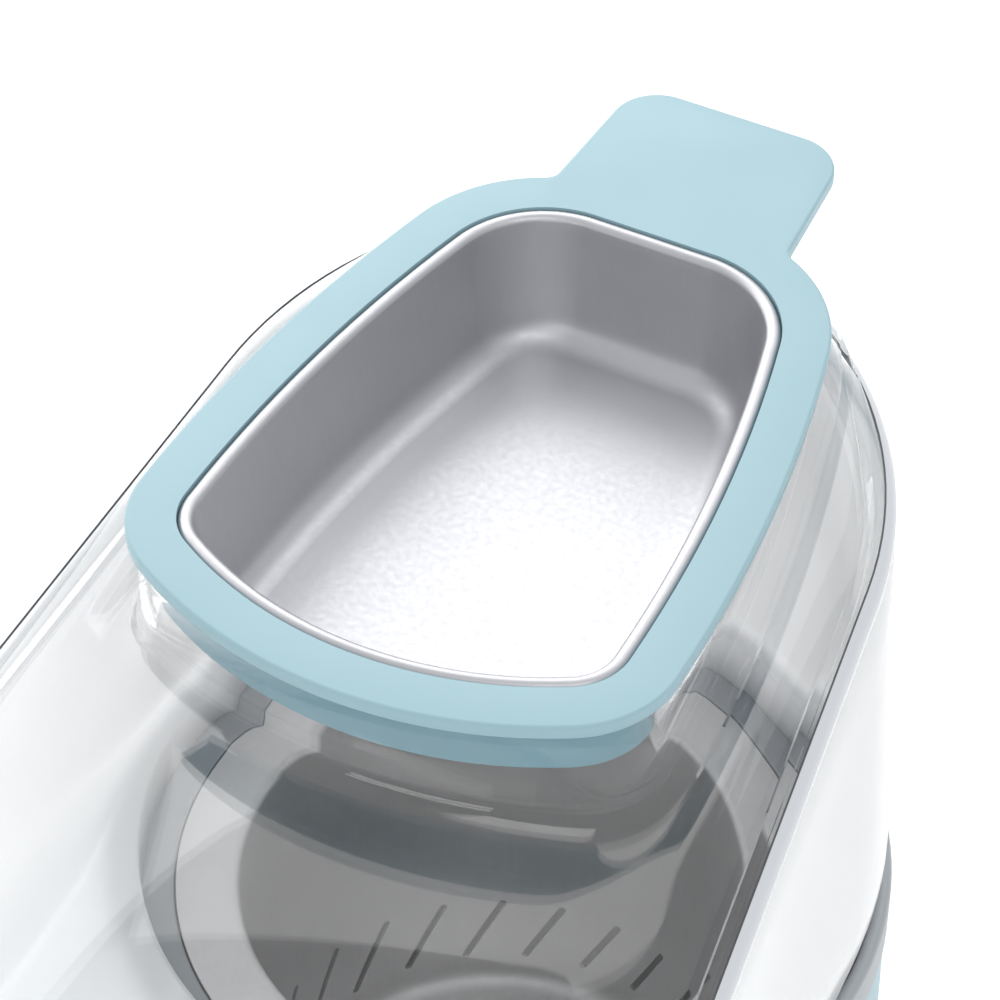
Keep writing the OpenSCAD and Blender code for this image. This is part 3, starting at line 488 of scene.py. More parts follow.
# %% Plastics
def moulded(name, base, other, roughness, grain, depth, spread=0.06, ior=1.5, soak=0.0):
    """Moulded plastic with a tool grain of that size and depth in millimetres.

    soak is how much of the light goes about 10 mm through it.
    """
    material, tree, place = new_material(name)
    show(tree, add(tree, "ShaderNodeBsdfPrincipled", {
        "Subsurface Weight": soak, "Subsurface Radius": (1, 1, 1), "Subsurface Scale": 10 * MM,
        "Base Color": drifting(tree, place, base, other),
        "Roughness": uneven(tree, place, roughness, spread),
        "IOR": ior,
        "Normal": grainy(tree, place, grain, depth)}))
    return material


# satin polypropylene: grain of about 0.4 mm, soft wide highlight
pale_blue = moulded("pale_blue_satin_polypropylene", "A3C3CC", "9FC0C9", 0.42, 0.4, 0.006)
# the skirt: matt and rougher, and its tone a little deeper as painted shade from the ring that overhangs it
skirt_blue_painted_shade = moulded("pale_blue_matt_polypropylene_painted_shade", "6A9AA8", "6696A4", 0.55, 0.4, 0.003)
# polished ABS: a clear highlight that waves a little over 12 mm
white_gloss = moulded("white_gloss_abs", "F6F6F8", "F2F3F6", 0.14, 12, 0.012, spread=0.04, soak=1.0)
# satin ABS, mid grey
grey_satin = moulded("grey_satin_abs", "A7ACAF", "A3A8AC", 0.38, 0.4, 0.005)
# glass-filled nylon: dark, rougher, with fibres near the surface
dark_nylon = moulded("dark_glass_filled_nylon", "2B2C2E", "353638", 0.55, 0.5, 0.03, spread=0.12, ior=1.53)
# switch rocker: smoother black
black_gloss = moulded("black_polished_nylon", "18191B", "1E1F21", 0.25, 0.6, 0.008)
# natural nylon of the impeller
natural_nylon = moulded("natural_moulded_nylon", "E3E0D6", "DAD6C9", 0.45, 0.8, 0.015, ior=1.53)
# soft rubber: no clear highlight, dusty
black_rubber = moulded("matt_black_rubber", "1B1B1B", "262524", 0.82, 0.6, 0.04, spread=0.1, ior=1.52)
print("plastics:", [m.name for m in (pale_blue, white_gloss, grey_satin, dark_nylon, black_rubber)])

# %% [markdown]
# ### Clear polycarbonate
#
# The clear top is 2.4 mm polycarbonate with polished faces. A thin wall with
# two even faces hardly shifts what is behind it, so the body bends light very
# little, and a clear coat of the real 1.58 gives both faces their gloss. Lamps
# and light from the white walls must pass it, and Cycles would need very many
# samples for light through glass. So Light Path puts a Transparent shader in
# for rays from lamps and for rays between matt surfaces. The band round its
# edge has a fine frosted finish that hides the joint with the white wall:
# grey, soft and not see-through.

# %% Clear polycarbonate
def clear_polycarbonate():
    material, tree, place = new_material("clear_polished_polycarbonate")
    glass = add(tree, "ShaderNodeBsdfPrincipled", {
        "Base Color": colour("FFFFFF"), "Roughness": 0.02, "IOR": 1.06, "Transmission Weight": 1.0,
        "Coat Weight": 1.0, "Coat Roughness": 0.02, "Coat IOR": 1.58,
        "Normal": grainy(tree, place, 18, 0.02, 0.15)})
    through = add(tree, "ShaderNodeBsdfTransparent", {"Color": colour("FDFEFE")})
    ray = add(tree, "ShaderNodeLightPath")
    shader = glass
    for kind in ("Is Shadow Ray", "Is Diffuse Ray"):
        mixed = add(tree, "ShaderNodeMixShader", {"Fac": out(ray, kind)})
        tree.links.new(out(shader), mixed.inputs[1])
        tree.links.new(out(through), mixed.inputs[2])
        shader = mixed
    show(tree, shader)
    return material


clear_top_material = clear_polycarbonate()
# blasted tool face: fine grain, a wide dim highlight
frosted_band = moulded("frosted_grey_polycarbonate", "DBDDE1", "D6D9DD", 0.32, 0.5, 0.004, ior=1.58)
# the groove along it lies in its own shade
groove_grey = moulded("frosted_grey_polycarbonate_groove", "6E7075", "68696E", 0.5, 0.5, 0.01, ior=1.58)
print("clear top:", [m.name for m in (clear_top_material, frosted_band, groove_grey)])

# %% [markdown]
# ### Metals
#
# The tray is deep-drawn aluminium, washed to a satin: its grain runs up and
# down the walls, where the sheet slid over the tool. The chamber is the same
# sheet, duller from heat. Other parts are zinc-plated steel, copper alloy and
# heating wire. A metal keeps the default IOR, and its colour is its base
# colour.

# %% Metals
def metal(name, base, other, roughness, spread=0.1, grain=0.3, depth=0.004, stretch=(1, 1, 1), patch=20):
    """Metal with a grain that is stretched along an axis, as rolling or drawing leaves it."""
    material, tree, place = new_material(name)
    along = out(add(tree, "ShaderNodeMapping", {"Vector": place, "Scale": stretch}))
    show(tree, add(tree, "ShaderNodeBsdfPrincipled", {
        "Base Color": drifting(tree, place, base, other, patch),
        "Metallic": 1.0,
        "Roughness": uneven(tree, along, roughness, spread, 1.2),
        "Normal": grainy(tree, along, grain, depth)}))
    return material


tray_aluminium = metal("drawn_satin_aluminium", "CECED1", "C5C5C9", 0.46, 0.08, 0.5, 0.0015, (1, 1, 0.08))
chamber_aluminium = metal("heated_drawn_aluminium", "DADADB", "CFCECD", 0.55, 0.1, 0.5, 0.002, (1, 1, 0.08))
zinc_steel = metal("zinc_plated_steel", "B9BCC0", "A9ADB2", 0.34, 0.12, 0.8, 0.006)
screw_steel = metal("zinc_plated_screw_steel", "A8ABAF", "989B9F", 0.30, 0.1, 0.6, 0.006)
copper_alloy = metal("bare_copper_alloy", "C98A5E", "B47548", 0.35, 0.12, 0.6, 0.005)
sintered_bronze = metal("sintered_bronze", "A98550", "957244", 0.5, 0.15, 0.25, 0.02)
heating_wire = metal("oxidised_heating_wire", "5A5450", "4A4542", 0.55, 0.15, 0.3, 0.02)
varnished_copper = metal("varnished_copper_winding", "9A4E26", "7E3C1C", 0.28, 0.1, 0.4, 0.05, (1, 1, 0.1))
print("metals:", [m.name for m in (tray_aluminium, chamber_aluminium, zinc_steel, copper_alloy)])

# %% [markdown]
# ### Mica, ferrite, ceramic and circuit board
#
# These sit deep inside and hardly show, but a finished model has them right
# too: mica board glitters in flakes of about 2 mm, ferrite is a dull sintered
# grey, the fuse has a white glazed sleeve, and the board is green glass-epoxy
# with its weave of 0.6 mm showing.

# %% Inner materials
mica = moulded("pressed_mica_board", "CDB98C", "A8936A", 0.35, 2.0, 0.05, spread=0.25)
ferrite = moulded("sintered_ferrite", "37373A", "2C2C2F", 0.62, 0.2, 0.03)
glazed_ceramic = moulded("white_glazed_ceramic", "ECEAE2", "E2DFD4", 0.12, 3, 0.01)
glass_epoxy = moulded("green_glass_epoxy", "1F5A3C", "2A6B48", 0.3, 0.6, 0.02)
print("inner materials:", [m.name for m in (mica, ferrite, glazed_ceramic, glass_epoxy)])

# %% [markdown]
# ## The butter cup's ring and handle
#
# On the real cup this is one moulding: a 3 mm plate with an opening for the
# tray and a flat handle at the back. It could be cut from a filled curve, but
# pulling the outline through a few rings keeps clean quads. The handle is then
# extruded from the back faces and flattened to one plane. Its ribs are
# dissolved, so that the two upright edges at its end can be beveled into wide
# round corners.

# %% Ring and handle
ring_t = 3 * MM
border = 8.6 * MM
tray_ledge, ledge_w = 2 * MM, 1.4 * MM
root_half_w, end_half_w = 22.8 * MM, 21 * MM
handle_corner, root_fillet, plate_edge = 8.5 * MM, 1.6 * MM, 0.9 * MM

opening = border + ledge_w
ring = shell("cup_ring", [
    at_level(cup_plan(0), cup_top - ring_t), at_level(cup_plan(0), cup_top),
    at_level(cup_plan(border), cup_top), at_level(cup_plan(border), cup_top - tray_ledge),
    at_level(cup_plan(opening), cup_top - tray_ledge), at_level(cup_plan(opening), cup_top - ring_t)])
close_ends(ring)
bpy.ops.mesh.select_all(action="SELECT")
bpy.ops.mesh.normals_make_consistent(inside=False)


def back_face(face):
    centre = face.calc_center_median()
    return face.normal.y > 0.5 and abs(centre.x) < root_half_w and centre.y > ring_back - 5 * MM


root_y = ring_back - 2 * MM
faces = pick(ring, "FACE", back_face)
bpy.ops.mesh.extrude_region_move(TRANSFORM_OT_translate={"value": (0, handle_end - root_y, 0)})
bpy.ops.transform.resize(value=(1, 0, 1), center_override=(0, handle_end, 0))
bpy.ops.transform.resize(value=(end_half_w / root_half_w, 1, 1), center_override=(0, 0, 0))


def upright(edge, x, y, reach):
    """An upright edge within that reach of (x, y), or of its mirror place."""
    a, b = edge.verts
    away = Vector((abs(a.co.x) - x, a.co.y - y)).length
    return abs(a.co.z - b.co.z) > ring_t / 2 and away < reach


def outer_rim_edge(edge):
    """An edge between the plate's top or bottom and its outer side."""
    if len(edge.link_faces) != 2:
        return False
    here = middle(edge)
    flat, side = sorted(edge.link_faces, key=lambda f: -abs(f.normal.z))
    side_out = Vector((side.normal.x, side.normal.y))
    away = Vector((here.x, here.y))
    return abs(flat.normal.z) > 0.9 and abs(side.normal.z) < 0.3 and side_out.dot(away) > 0


pick(ring, "FACE", lambda f: any(v.co.y > handle_end - 0.01 * MM for v in f.verts))
bpy.ops.mesh.dissolve_limited(angle_limit=radians(2))
verts = bmesh.from_edit_mesh(ring.data).verts
end_x = max(abs(v.co.x) for v in verts if v.co.y > handle_end - 0.01 * MM)
pick(ring, "EDGE", lambda e: upright(e, end_x, handle_end, 0.5 * MM))
bpy.ops.mesh.bevel(offset=handle_corner, segments=12, affect="EDGES")
print("faces behind the handle:", faces, "handle half width at its end, mm:", round(end_x / MM, 1))

# %% Round the handle's roots
edges = bmesh.from_edit_mesh(ring.data).edges
handle_sides = [e for e in edges if abs(e.verts[0].co.y - e.verts[1].co.y) > 15 * MM]
root = min((v.co for e in handle_sides for v in e.verts), key=lambda c: c.y)
roots = pick(ring, "EDGE", lambda e: upright(e, abs(root.x), root.y, 0.3 * MM))
bpy.ops.mesh.bevel(offset=root_fillet, segments=5, affect="EDGES", clamp_overlap=True)
print("handle roots rounded:", roots)

# %% Soften the ring's edges
bpy.ops.mesh.select_all(action="SELECT")
bpy.ops.mesh.remove_doubles(threshold=0.001 * MM)
bpy.ops.mesh.normals_make_consistent(inside=False)
rim_edges = pick(ring, "EDGE", outer_rim_edge)
bpy.ops.mesh.bevel(offset=plate_edge, segments=4, affect="EDGES", clamp_overlap=True)
leave_edit(ring)
smooth(ring, smooth_to=35)
ring.data.materials.append(pale_blue)
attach(ring, "butter_cup")
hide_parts("cup_frame")
print("rounded edges:", rim_edges)

# %% [markdown]
# ## The cup's skirt
#
# Under the ring a thin wall hangs into the collar and keeps the cup in place.
# It is a band with a rounded lower edge. Its finish is matt, and its
# blue is a tone deeper: painted shade from the ring that overhangs it.

# %% Skirt
skirt_inset = 4.2 * MM
skirt_t = 2 * MM
skirt_low, skirt_root = frame_low.z, cup_top - ring_t + 0.2 * MM
skirt_out, skirt_in = cup_plan(skirt_inset), cup_plan(skirt_inset + skirt_t)
skirt = shell("cup_skirt", [
    at_level(plan, z) for plan, z in (
        (skirt_out, skirt_root), (skirt_out, skirt_low), (skirt_in, skirt_low), (skirt_in, skirt_root))])
close_ends(skirt)
leave_edit(skirt)
smooth(skirt, 0.5)
# the skirt's deeper blue is painted shade from the ring above it
skirt.data.materials.append(skirt_blue_painted_shade)
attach(skirt, "butter_cup")

# %% [markdown]
# ## The drawn aluminium tray
#
# The tray is one sheet pressed over a tool: a rolled bead lies in the ring's
# opening, the walls lean in a little, and a wide bend leads into the floor.
# Only the upper surface is pulled up here, and Solidify gives it the sheet's
# thickness on the far side.

# %% Tray
sheet_t = 0.8 * MM
bead_in = border + 0.15 * MM
bead_w = 2.8 * MM
lean = 2.4 * MM
bend_r = 5.5 * MM
tray_floor = tray_low.z + sheet_t
bead_top = tray_high.z
bead_r = bead_w / 2
tray_rings = []
for turn in range(0, 181, 15):
    t = radians(turn)
    tray_rings.append(at_level(cup_plan(bead_in + bead_r * (1 - cos(t))), bead_top - bead_r * (1 - sin(t))))
wall_in = bead_in + bead_w + 0.15 * MM
wall_top = bead_top - bead_r - 0.6 * MM
wall_low = tray_floor + bend_r
for t in (0, 0.03, 0.25, 0.5, 0.75, 1):
    tray_rings.append(at_level(cup_plan(wall_in + lean * t), mix(wall_top, wall_low, t)))
for turn in range(15, 91, 15):
    t = radians(turn)
    inset = wall_in + lean + bend_r * (1 - cos(t))
    tray_rings.append(at_level(cup_plan(inset), tray_floor + bend_r * (1 - sin(t))))
tray = shell("cup_tray_sheet", tray_rings)
centre = Vector((0, (ring_back - ring_front) / 2, tray_floor))
for share in (0.15, 0.4, 0.7):
    pull_ring(tray, [p.lerp(centre, share) for p in tray_rings[-1]])
bpy.ops.mesh.edge_face_add()
leave_edit(tray, recalc=False)
if tray.data.polygons[-1].normal.z < 0:
    tray.data.flip_normals()
apply(tray, "SOLIDIFY", thickness=sheet_t, offset=-1, use_even_offset=True)
smooth(tray, smooth_to=50)
tray.data.materials.append(tray_aluminium)
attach(tray, "butter_cup")
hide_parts("cup_tray")

# %% [markdown]
# ## The clear top
#
# One polycarbonate moulding closes the chute: a low band stands on the wall's
# edge and slopes in, a fine groove runs along it, the roof swells from there to
# an upright collar that takes the cup, and its front is arched over the mouth.
# The roof runs between two different outlines, so each ring in it is a blend of
# the two. Its height rises fast near the band and then levels out, and a small
# hollow curve leads into the collar. Inside, a lip hangs down behind the wall.

# %% Sizes of the clear top
pane = 2.4 * MM
band_h, band_lean, band_fall = 5 * MM, 1.9 * MM, 3 * MM
crown_h, crown_tan = 16 * MM, tan(radians(8.5))
crown_fall = 8 * MM
collar_wall, cup_gap = 2.2 * MM, 0.4 * MM
collar_in = skirt_inset - cup_gap
collar_out = collar_in - collar_wall
collar_top = cup_top - ring_t - cup_gap
mouth_arch = crown_h + mouth_reach * (edge_slope - crown_tan) / 2
hollow = 4 * MM
groove_w, groove_d = 0.35 * MM, 0.25 * MM
lip_gap, lip_t, lip_h = 1.5 * MM, 1.6 * MM, 3 * MM


def crown_z(p, lift=0):
    """Height of the roof where the collar stands on it, with that lift but under the collar's top."""
    roof_z = edge_z + crown_h + crown_tan * p.y - crown_fall * (p.x / ring_half_w) ** 2
    return min(roof_z + lift, collar_top - 1 * MM)


def top_edge(inset, lift, lip=0):
    """The clear top's edge: its front is arched, and only the rest hangs down by lip."""
    plan = chute_plan(1, low_half_w, mouth_reach - inset, inset)
    w = plan[FRONT].x
    points = []
    for i, p in enumerate(plan):
        front = min(i, len(plan) - i) <= FRONT
        rise = mouth_arch * (1 - (p.x / w) ** 2) if front else -lip
        points.append(Vector((p.x, p.y, edge_level(p.y, lift) + rise)))
    return points


def blend_rings(a, b, t, rise):
    return [Vector((mix(p.x, q.x, t), mix(p.y, q.y, t), mix(p.z, q.z, rise))) for p, q in zip(a, b)]


print("arch over the mouth, mm:", round(mouth_arch / MM, 1))

# %% Clear top
band = [top_edge(0, 0.2 * MM), top_edge(0, band_h - band_fall),
        top_edge(0.3 * MM, band_h - band_fall + 1 * MM), top_edge(0.9 * MM, band_h - band_fall + 2 * MM),
        top_edge(band_lean, band_h)]
shoulder = top_edge(band_lean + groove_w, band_h)
groove = [top_edge(band_lean, band_h - groove_d), top_edge(band_lean + groove_w, band_h - groove_d)]
foot = [Vector((p.x, p.y, crown_z(p))) for p in cup_plan(collar_out - hollow)]
SHARES = [0.03, 0.08, 0.15, 0.25, 0.36, 0.48, 0.6, 0.72, 0.84, 0.93, 1.0]
SWELL = 1.7
roof = [blend_rings(shoulder, foot, t, 1 - (1 - t) ** SWELL) for t in SHARES]
curve = []
for turn in (20, 40, 60, 78):
    t = radians(turn)
    plan = cup_plan(collar_out - hollow * (1 - sin(t)))
    curve.append([Vector((p.x, p.y, crown_z(p, hollow * (1 - cos(t))))) for p in plan])
collar = [at_level(cup_plan(inset), z) for inset, z in (
    (collar_out, collar_top - 0.6 * MM), (collar_out + 0.18 * MM, collar_top - 0.18 * MM),
    (collar_out + 0.6 * MM, collar_top), (collar_in - 0.6 * MM, collar_top),
    (collar_in - 0.18 * MM, collar_top - 0.18 * MM), (collar_in, collar_top - 0.6 * MM))]
lip_inset = wall + lip_gap
lip_lean = (top_edge(band_lean, band_h)[FRONT].x - low_half_w) / (mouth_z - waist_z) * lip_h
inner_edge = top_edge(lip_inset + lip_t, band_h - pane)
inner_curve = []
for turn in (90, 72, 54, 36, 18):
    t = radians(turn)
    plan = cup_plan(collar_out - hollow + (hollow + collar_wall) * sin(t))
    inner_curve.append([Vector((p.x, p.y, crown_z(p, hollow - (hollow + pane) * cos(t)))) for p in plan])
inner_foot = [Vector((p.x, p.y, crown_z(p) - pane)) for p in cup_plan(collar_out - hollow)]
ceiling = [blend_rings(inner_edge, inner_foot, t, 1 - (1 - t) ** SWELL) for t in reversed(SHARES)]
lip = [top_edge(lip_inset + lip_lean + lip_t, 0.2 * MM, lip_h),
       top_edge(lip_inset + lip_lean, 0.2 * MM, lip_h), top_edge(lip_inset, 0.2 * MM)]
outside = [*band, *groove, shoulder, *roof, *curve]
inside = [*inner_curve, *ceiling, inner_edge, *lip]
window = shell("clear_top", [*outside, *collar, *inside])
close_ends(window)

# %% Finish the clear top
for material in (clear_top_material, frosted_band, groove_grey):
    window.data.materials.append(material)
band_end = len(band) - 1
for first, last, number in ((1, band_end, 1), (band_end, band_end + 3, 2)):
    pick(window, "FACE", between_rings(window, first, last))
    window.active_material_index = number
    bpy.ops.object.material_slot_assign()
leave_edit(window)
smooth(window, smooth_to=40)
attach(window, "chute")
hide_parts("chute_window")

# %% [markdown]
# ## The chute
#
# The white chute is one thin-walled moulding: a round seat that stands in the
# rim, a floor that runs out to the mouth, and walls that carry the clear top.
# One outline is pulled from the seat out along the floor's underside, up the
# walls, over the edge, down the inside, round a soft bend into the floor and
# back into the seat. The front faces are deleted at the end, and the opening
# that they leave is filled between its two skins.

# %% Chute
seat_in = seat_r - wall - 0.4 * MM
floor_r = 12 * MM
floor_z = under_z + wall


def mouth_at(z):
    """How far the mouth reaches at a height: its sides lean forward."""
    return mix(lip_reach, mouth_reach, max(0, (z - lip_z) / (mouth_z - lip_z)))


def under_floor(y):
    return under_z - max(0, -y - floor_bend) * floor_slope


def front_share(p):
    """0 at the round back, 1 where the floor lies in front of the seat."""
    t = min(1, max(0, (12 * MM - p.y) / (24 * MM)))
    return t * t * (3 - 2 * t)


def low_ring(half_w, above, back_z):
    """An outer ring near the floor: at that height above its underside, or at back_z behind."""
    plan = chute_plan(0, half_w, lip_reach)
    return [Vector((p.x, p.y, mix(back_z, under_floor(p.y) + above, front_share(p)))) for p in plan]


outside_high = on_edge(chute_plan(1, low_half_w, mouth_reach))
outside_waist = [Vector((p.x, p.y, max(waist_z, under_floor(p.y) + 12 * MM)))
                 for p in chute_plan(0, low_half_w, mouth_at(waist_z))]
inside_high = on_edge(chute_plan(1, low_half_w, mouth_reach, wall))
inside_low_plan = chute_plan(0, low_half_w, mouth_at(under_z), wall)


def floor_ring(turn):
    """A ring of the bend between wall and floor, at that angle in degrees from the wall.

    Its radius shrinks smoothly where the seat leaves it less room.
    """
    t = radians(turn)
    points = []
    for i, p in enumerate(inside_low_plan):
        room = max(p.length - seat_in - 1.6 * MM, 0.5 * MM)
        r = room * floor_r / (room ** 4 + floor_r ** 4) ** 0.25
        out_of = Vector((1 if p.x > 0 else -1, 0)) if p.y < 0 else p.normalized()
        if min(i, len(inside_low_plan) - i) < FRONT:
            share = abs(p.x) / inside_low_plan[FRONT].x
            q = Vector((p.x - (1 if p.x > 0 else -1) * share * r * (1 - cos(t)), p.y))
        else:
            q = p - out_of * r * (1 - cos(t))
        q.y = max(q.y, -lip_reach) if q.y < -lip_reach + mouth_bow else q.y
        points.append(Vector((q.x, q.y, under_floor(q.y) + wall + r * (1 - sin(t)))))
    return points


WALL_SHARES = (0, 0.2, 0.4, 0.6, 0.8, 1)
rings = [at_level(round_plan(seat_r), seat_low), at_level(round_plan(seat_r), seat_low + 3 * MM),
         at_level(round_plan(seat_r + 0.4 * MM), rim_top - 2 * MM),
         at_level(round_plan(seat_r + 1 * MM), under_z - 0.6 * MM),
         low_ring(low_half_w - 1.2 * MM, 0, rim_top + 3.5 * MM),
         low_ring(low_half_w - 0.35 * MM, 0.4 * MM, rim_top + 6 * MM),
         low_ring(low_half_w, 1.4 * MM, rim_top + 9 * MM)]
for start, end in ((outside_waist, outside_high), (inside_high, floor_ring(0))):
    rings += [[a.lerp(b, t) for a, b in zip(start, end)] for t in WALL_SHARES]
rings += [floor_ring(turn) for turn in range(15, 91, 15)]
rings += [at_level(round_plan(seat_in + 1.2 * MM), floor_z),
          at_level(round_plan(seat_in + 0.3 * MM), floor_z - 0.4 * MM),
          at_level(round_plan(seat_in), floor_z - 1.4 * MM), at_level(round_plan(seat_in), seat_low)]
chute = shell("chute_shell", rings)
close_ends(chute)
print("chute rings:", len(rings))

# %% Open the mouth
UNDERSIDE_EDGE, FLOOR_EDGE = 4, 24
points_round = len(rings[0])
place = bmesh.from_edit_mesh(chute.data).verts.layers.int["place"]
on_wall = between_rings(chute, UNDERSIDE_EDGE, FLOOR_EDGE)


def in_mouth(face):
    """A face of the front stretch, between the underside's edge and the floor's edge."""
    return on_wall(face) and all(min(v[place], points_round - v[place]) <= FRONT for v in face.verts)


opened = pick(chute, "FACE", in_mouth)
bpy.ops.mesh.delete(type="FACE")
pick(chute, "EDGE", lambda e: e.is_boundary)
bpy.ops.mesh.fill(use_beauty=True)
leave_edit(chute)
smooth(chute, 0.4, steps=2, smooth_to=35)
chute.data.materials.append(white_gloss)
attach(chute, "chute")
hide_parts("chute_body")
print("faces taken out of the mouth:", opened)

# %% [markdown]
# ## Round pieces
#
# The base is made of turned shapes: a profile of radius and height is pulled
# round by round, like a bowl on a lathe. Spin would do the same, but the rings
# can stand on any axis and share the finish helpers with the pieces above.

# %% Turning helper
def circle(r, z, middle_x=0.0, middle_y=0.0, n=144):
    turns = [2 * pi * i / n for i in range(n)]
    return [Vector((middle_x + r * cos(t), middle_y + r * sin(t), z)) for t in turns]


def turned(name, profile, closed, middle_x=0.0, middle_y=0.0, n=144):
    """A piece of revolution from (radius, height) in millimetres, left in edit mode."""
    piece = shell(name, [circle(r * MM, z * MM, middle_x, middle_y, n) for r, z in profile])
    if closed:
        close_ends(piece)
    else:
        fill_ends()
    return piece


def join(pieces, name):
    """Joins pieces into the first one."""
    bpy.ops.object.select_all(action="DESELECT")
    for piece in pieces:
        piece.select_set(True)
    bpy.context.view_layer.objects.active = pieces[0]
    bpy.ops.object.join()
    pieces[0].name = pieces[0].data.name = name
    return pieces[0]


def copies(piece, places, turns=None):
    """Copies a piece, each with its own mesh, and turns the copies round the base's axis."""
    made = []
    for k, (x, y) in enumerate(places):
        twin = piece.copy()
        twin.data = piece.data.copy()
        bpy.context.collection.objects.link(twin)
        turn = Matrix.Rotation(turns[k] if turns else 0, 4, "Z")
        twin.data.transform(Matrix.Translation((x, y, 0)) @ turn)
        made.append(twin)
    bpy.data.objects.remove(piece)
    return made


def cut(piece, cutter, how="DIFFERENCE"):
    """Cuts a piece with another one, or welds that one on, and removes the other."""
    apply(piece, "BOOLEAN", operation=how, object=cutter, solver="EXACT")
    bpy.data.objects.remove(cutter)


def block(name, low, high, rounding, steps=4):
    """A box between two corners with its long edges rounded, as a tool for cutting or welding."""
    bpy.ops.object.select_all(action="DESELECT")
    bpy.ops.mesh.primitive_cube_add(size=1)
    piece = bpy.context.object
    piece.name = name
    for v in piece.data.vertices:
        v.co = Vector([high[k] if v.co[k] > 0 else low[k] for k in range(3)])
    bpy.ops.object.mode_set(mode="EDIT")
    pick(piece, "EDGE", lambda e: abs(e.verts[0].co.x - e.verts[1].co.x) > 0.9 * (high[0] - low[0]))
    bpy.ops.mesh.bevel(offset=rounding, segments=steps, affect="EDGES")
    leave_edit(piece)
    return piece


print("helpers for round pieces are ready")

# %% [markdown]
# ## The grey rim
#
# A satin grey ring lies on the housing: a level floor round the popping
# chamber, and an upright wall with a round top that keeps the chute in place.

# %% Rim ring
RIM_R, RIM_ROUND, HOLE_R = 74, 1.5, 60.4
top = rim_top / MM
foot_z = rim_low.z / MM
rim_profile = [(HOLE_R, foot_z), (RIM_R - 0.4, foot_z), (RIM_R, foot_z + 0.4), (RIM_R, top - RIM_ROUND)]
rim_profile += [(RIM_R - RIM_ROUND * (1 - cos(radians(t))), top - RIM_ROUND * (1 - sin(radians(t))))
                for t in range(15, 181, 15)]
rim_profile += [(71, foot_z + 4), (70.8, foot_z + 3.2), (70.3, foot_z + 2.7), (69.5, foot_z + 2.5),
                (HOLE_R + 0.4, foot_z + 2.5), (HOLE_R, foot_z + 2.1)]
rim = turned("rim_ring_piece", rim_profile, True)
leave_edit(rim)
smooth(rim, smooth_to=40)
rim.data.materials.append(grey_satin)
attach(rim, "base")
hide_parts("rim_ring")

# %% [markdown]
# ## The housing
#
# The pale blue housing is one moulding. It flares slowly towards its foot, its
# lower edge is rounded, and a ledge at the top carries the rim. A flat pad on
# the side takes the switch, a round one behind takes the cord gland, and a
# fan of slots at the back lets air in. Pads are welded on with Boolean, and
# holes are cut with it, because they cross the curved wall at odd angles.

# %% Housing shell
housing_low, housing_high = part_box("housing")
low_z, top_z = housing_low.z / MM, housing_high.z / MM
TOP_R, FLARE, EDGE_R, SHELL_T, LEDGE_T = 73.6, 5.5, 4.0, 2.6, 2.5


def side_r(z):
    """Outer radius of the housing at a height, in millimetres."""
    return TOP_R + FLARE * ((top_z - z) / (top_z - low_z)) ** 1.6


def shell_r(z):
    """The same with the lower edge's rounding."""
    d = max(0, EDGE_R - (z - low_z))
    return side_r(z) - EDGE_R + sqrt(EDGE_R ** 2 - d ** 2)


heights = [low_z + EDGE_R * (1 - cos(radians(t))) for t in range(0, 91, 10)]
heights += [mix(low_z + EDGE_R, top_z, k / 20) for k in range(1, 20)]
profile = [(shell_r(z), z) for z in heights] + [(TOP_R, top_z - 0.5), (TOP_R - 0.5, top_z)]
profile += [(HOLE_R, top_z), (HOLE_R, top_z - LEDGE_T)]
profile += [(shell_r(min(z, top_z)) - SHELL_T, min(z, top_z - LEDGE_T)) for z in reversed(heights + [top_z])]
housing = turned("housing_shell", profile, True)
leave_edit(housing)
print("housing foot radius, mm:", round(side_r(low_z), 1))

# %% Pads and openings
switch_low, switch_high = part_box("switch_case")
gland_low, gland_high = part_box("cord_gland")
switch_z = (switch_low.z + switch_high.z) / 2
gland_z = (gland_low.z + gland_high.z) / 2
pad_x = switch_high.x - 1.6 * MM
gland_y = gland_high.y - 2 * MM
pad_y, pad_z = 11.6 * MM, 14.7 * MM
hole_y, hole_z = 6.6 * MM, 9.7 * MM
cut(housing, block("switch_pad", (pad_x - 5 * MM, -pad_y, switch_z - pad_z),
                   (pad_x, pad_y, switch_z + pad_z), 3 * MM), "UNION")


def disc(name, r, y0, y1, z, n=64):
    """A round bar along Y, as a tool."""
    bpy.ops.object.select_all(action="DESELECT")
    bpy.ops.mesh.primitive_cylinder_add(vertices=n, radius=r, depth=y1 - y0, location=(0, (y0 + y1) / 2, z),
                                        rotation=(pi / 2, 0, 0))
    bpy.ops.object.transform_apply(location=True, rotation=True, scale=True)
    bpy.context.object.name = name
    return bpy.context.object


cut(housing, disc("gland_pad", 12 * MM, gland_y - 4 * MM, gland_y, gland_z), "UNION")
cut(housing, disc("gland_hole", 7.2 * MM, gland_y - 12 * MM, gland_y + 5 * MM, gland_z))
cut(housing, block("switch_hole", (pad_x - 12 * MM, -hole_y, switch_z - hole_z),
                   (pad_x + 8 * MM, hole_y, switch_z + hole_z), 0.6 * MM, 2))
SLOTS, SLOT_STEP = 9, 5
slot_half, slot_low, slot_high = 1.5 * MM, 46 * MM, 72 * MM
slot_tool = block("slot_tool", (67 * MM, -slot_half, slot_low), (87 * MM, slot_half, slot_high), 1.45 * MM, 6)
slot_turns = [radians(90 + (k - (SLOTS - 1) / 2) * SLOT_STEP) for k in range(SLOTS)]
cut(housing, join(copies(slot_tool, [(0, 0)] * SLOTS, slot_turns), "slot_tools"))
print("housing faces after the cuts:", len(housing.data.polygons))

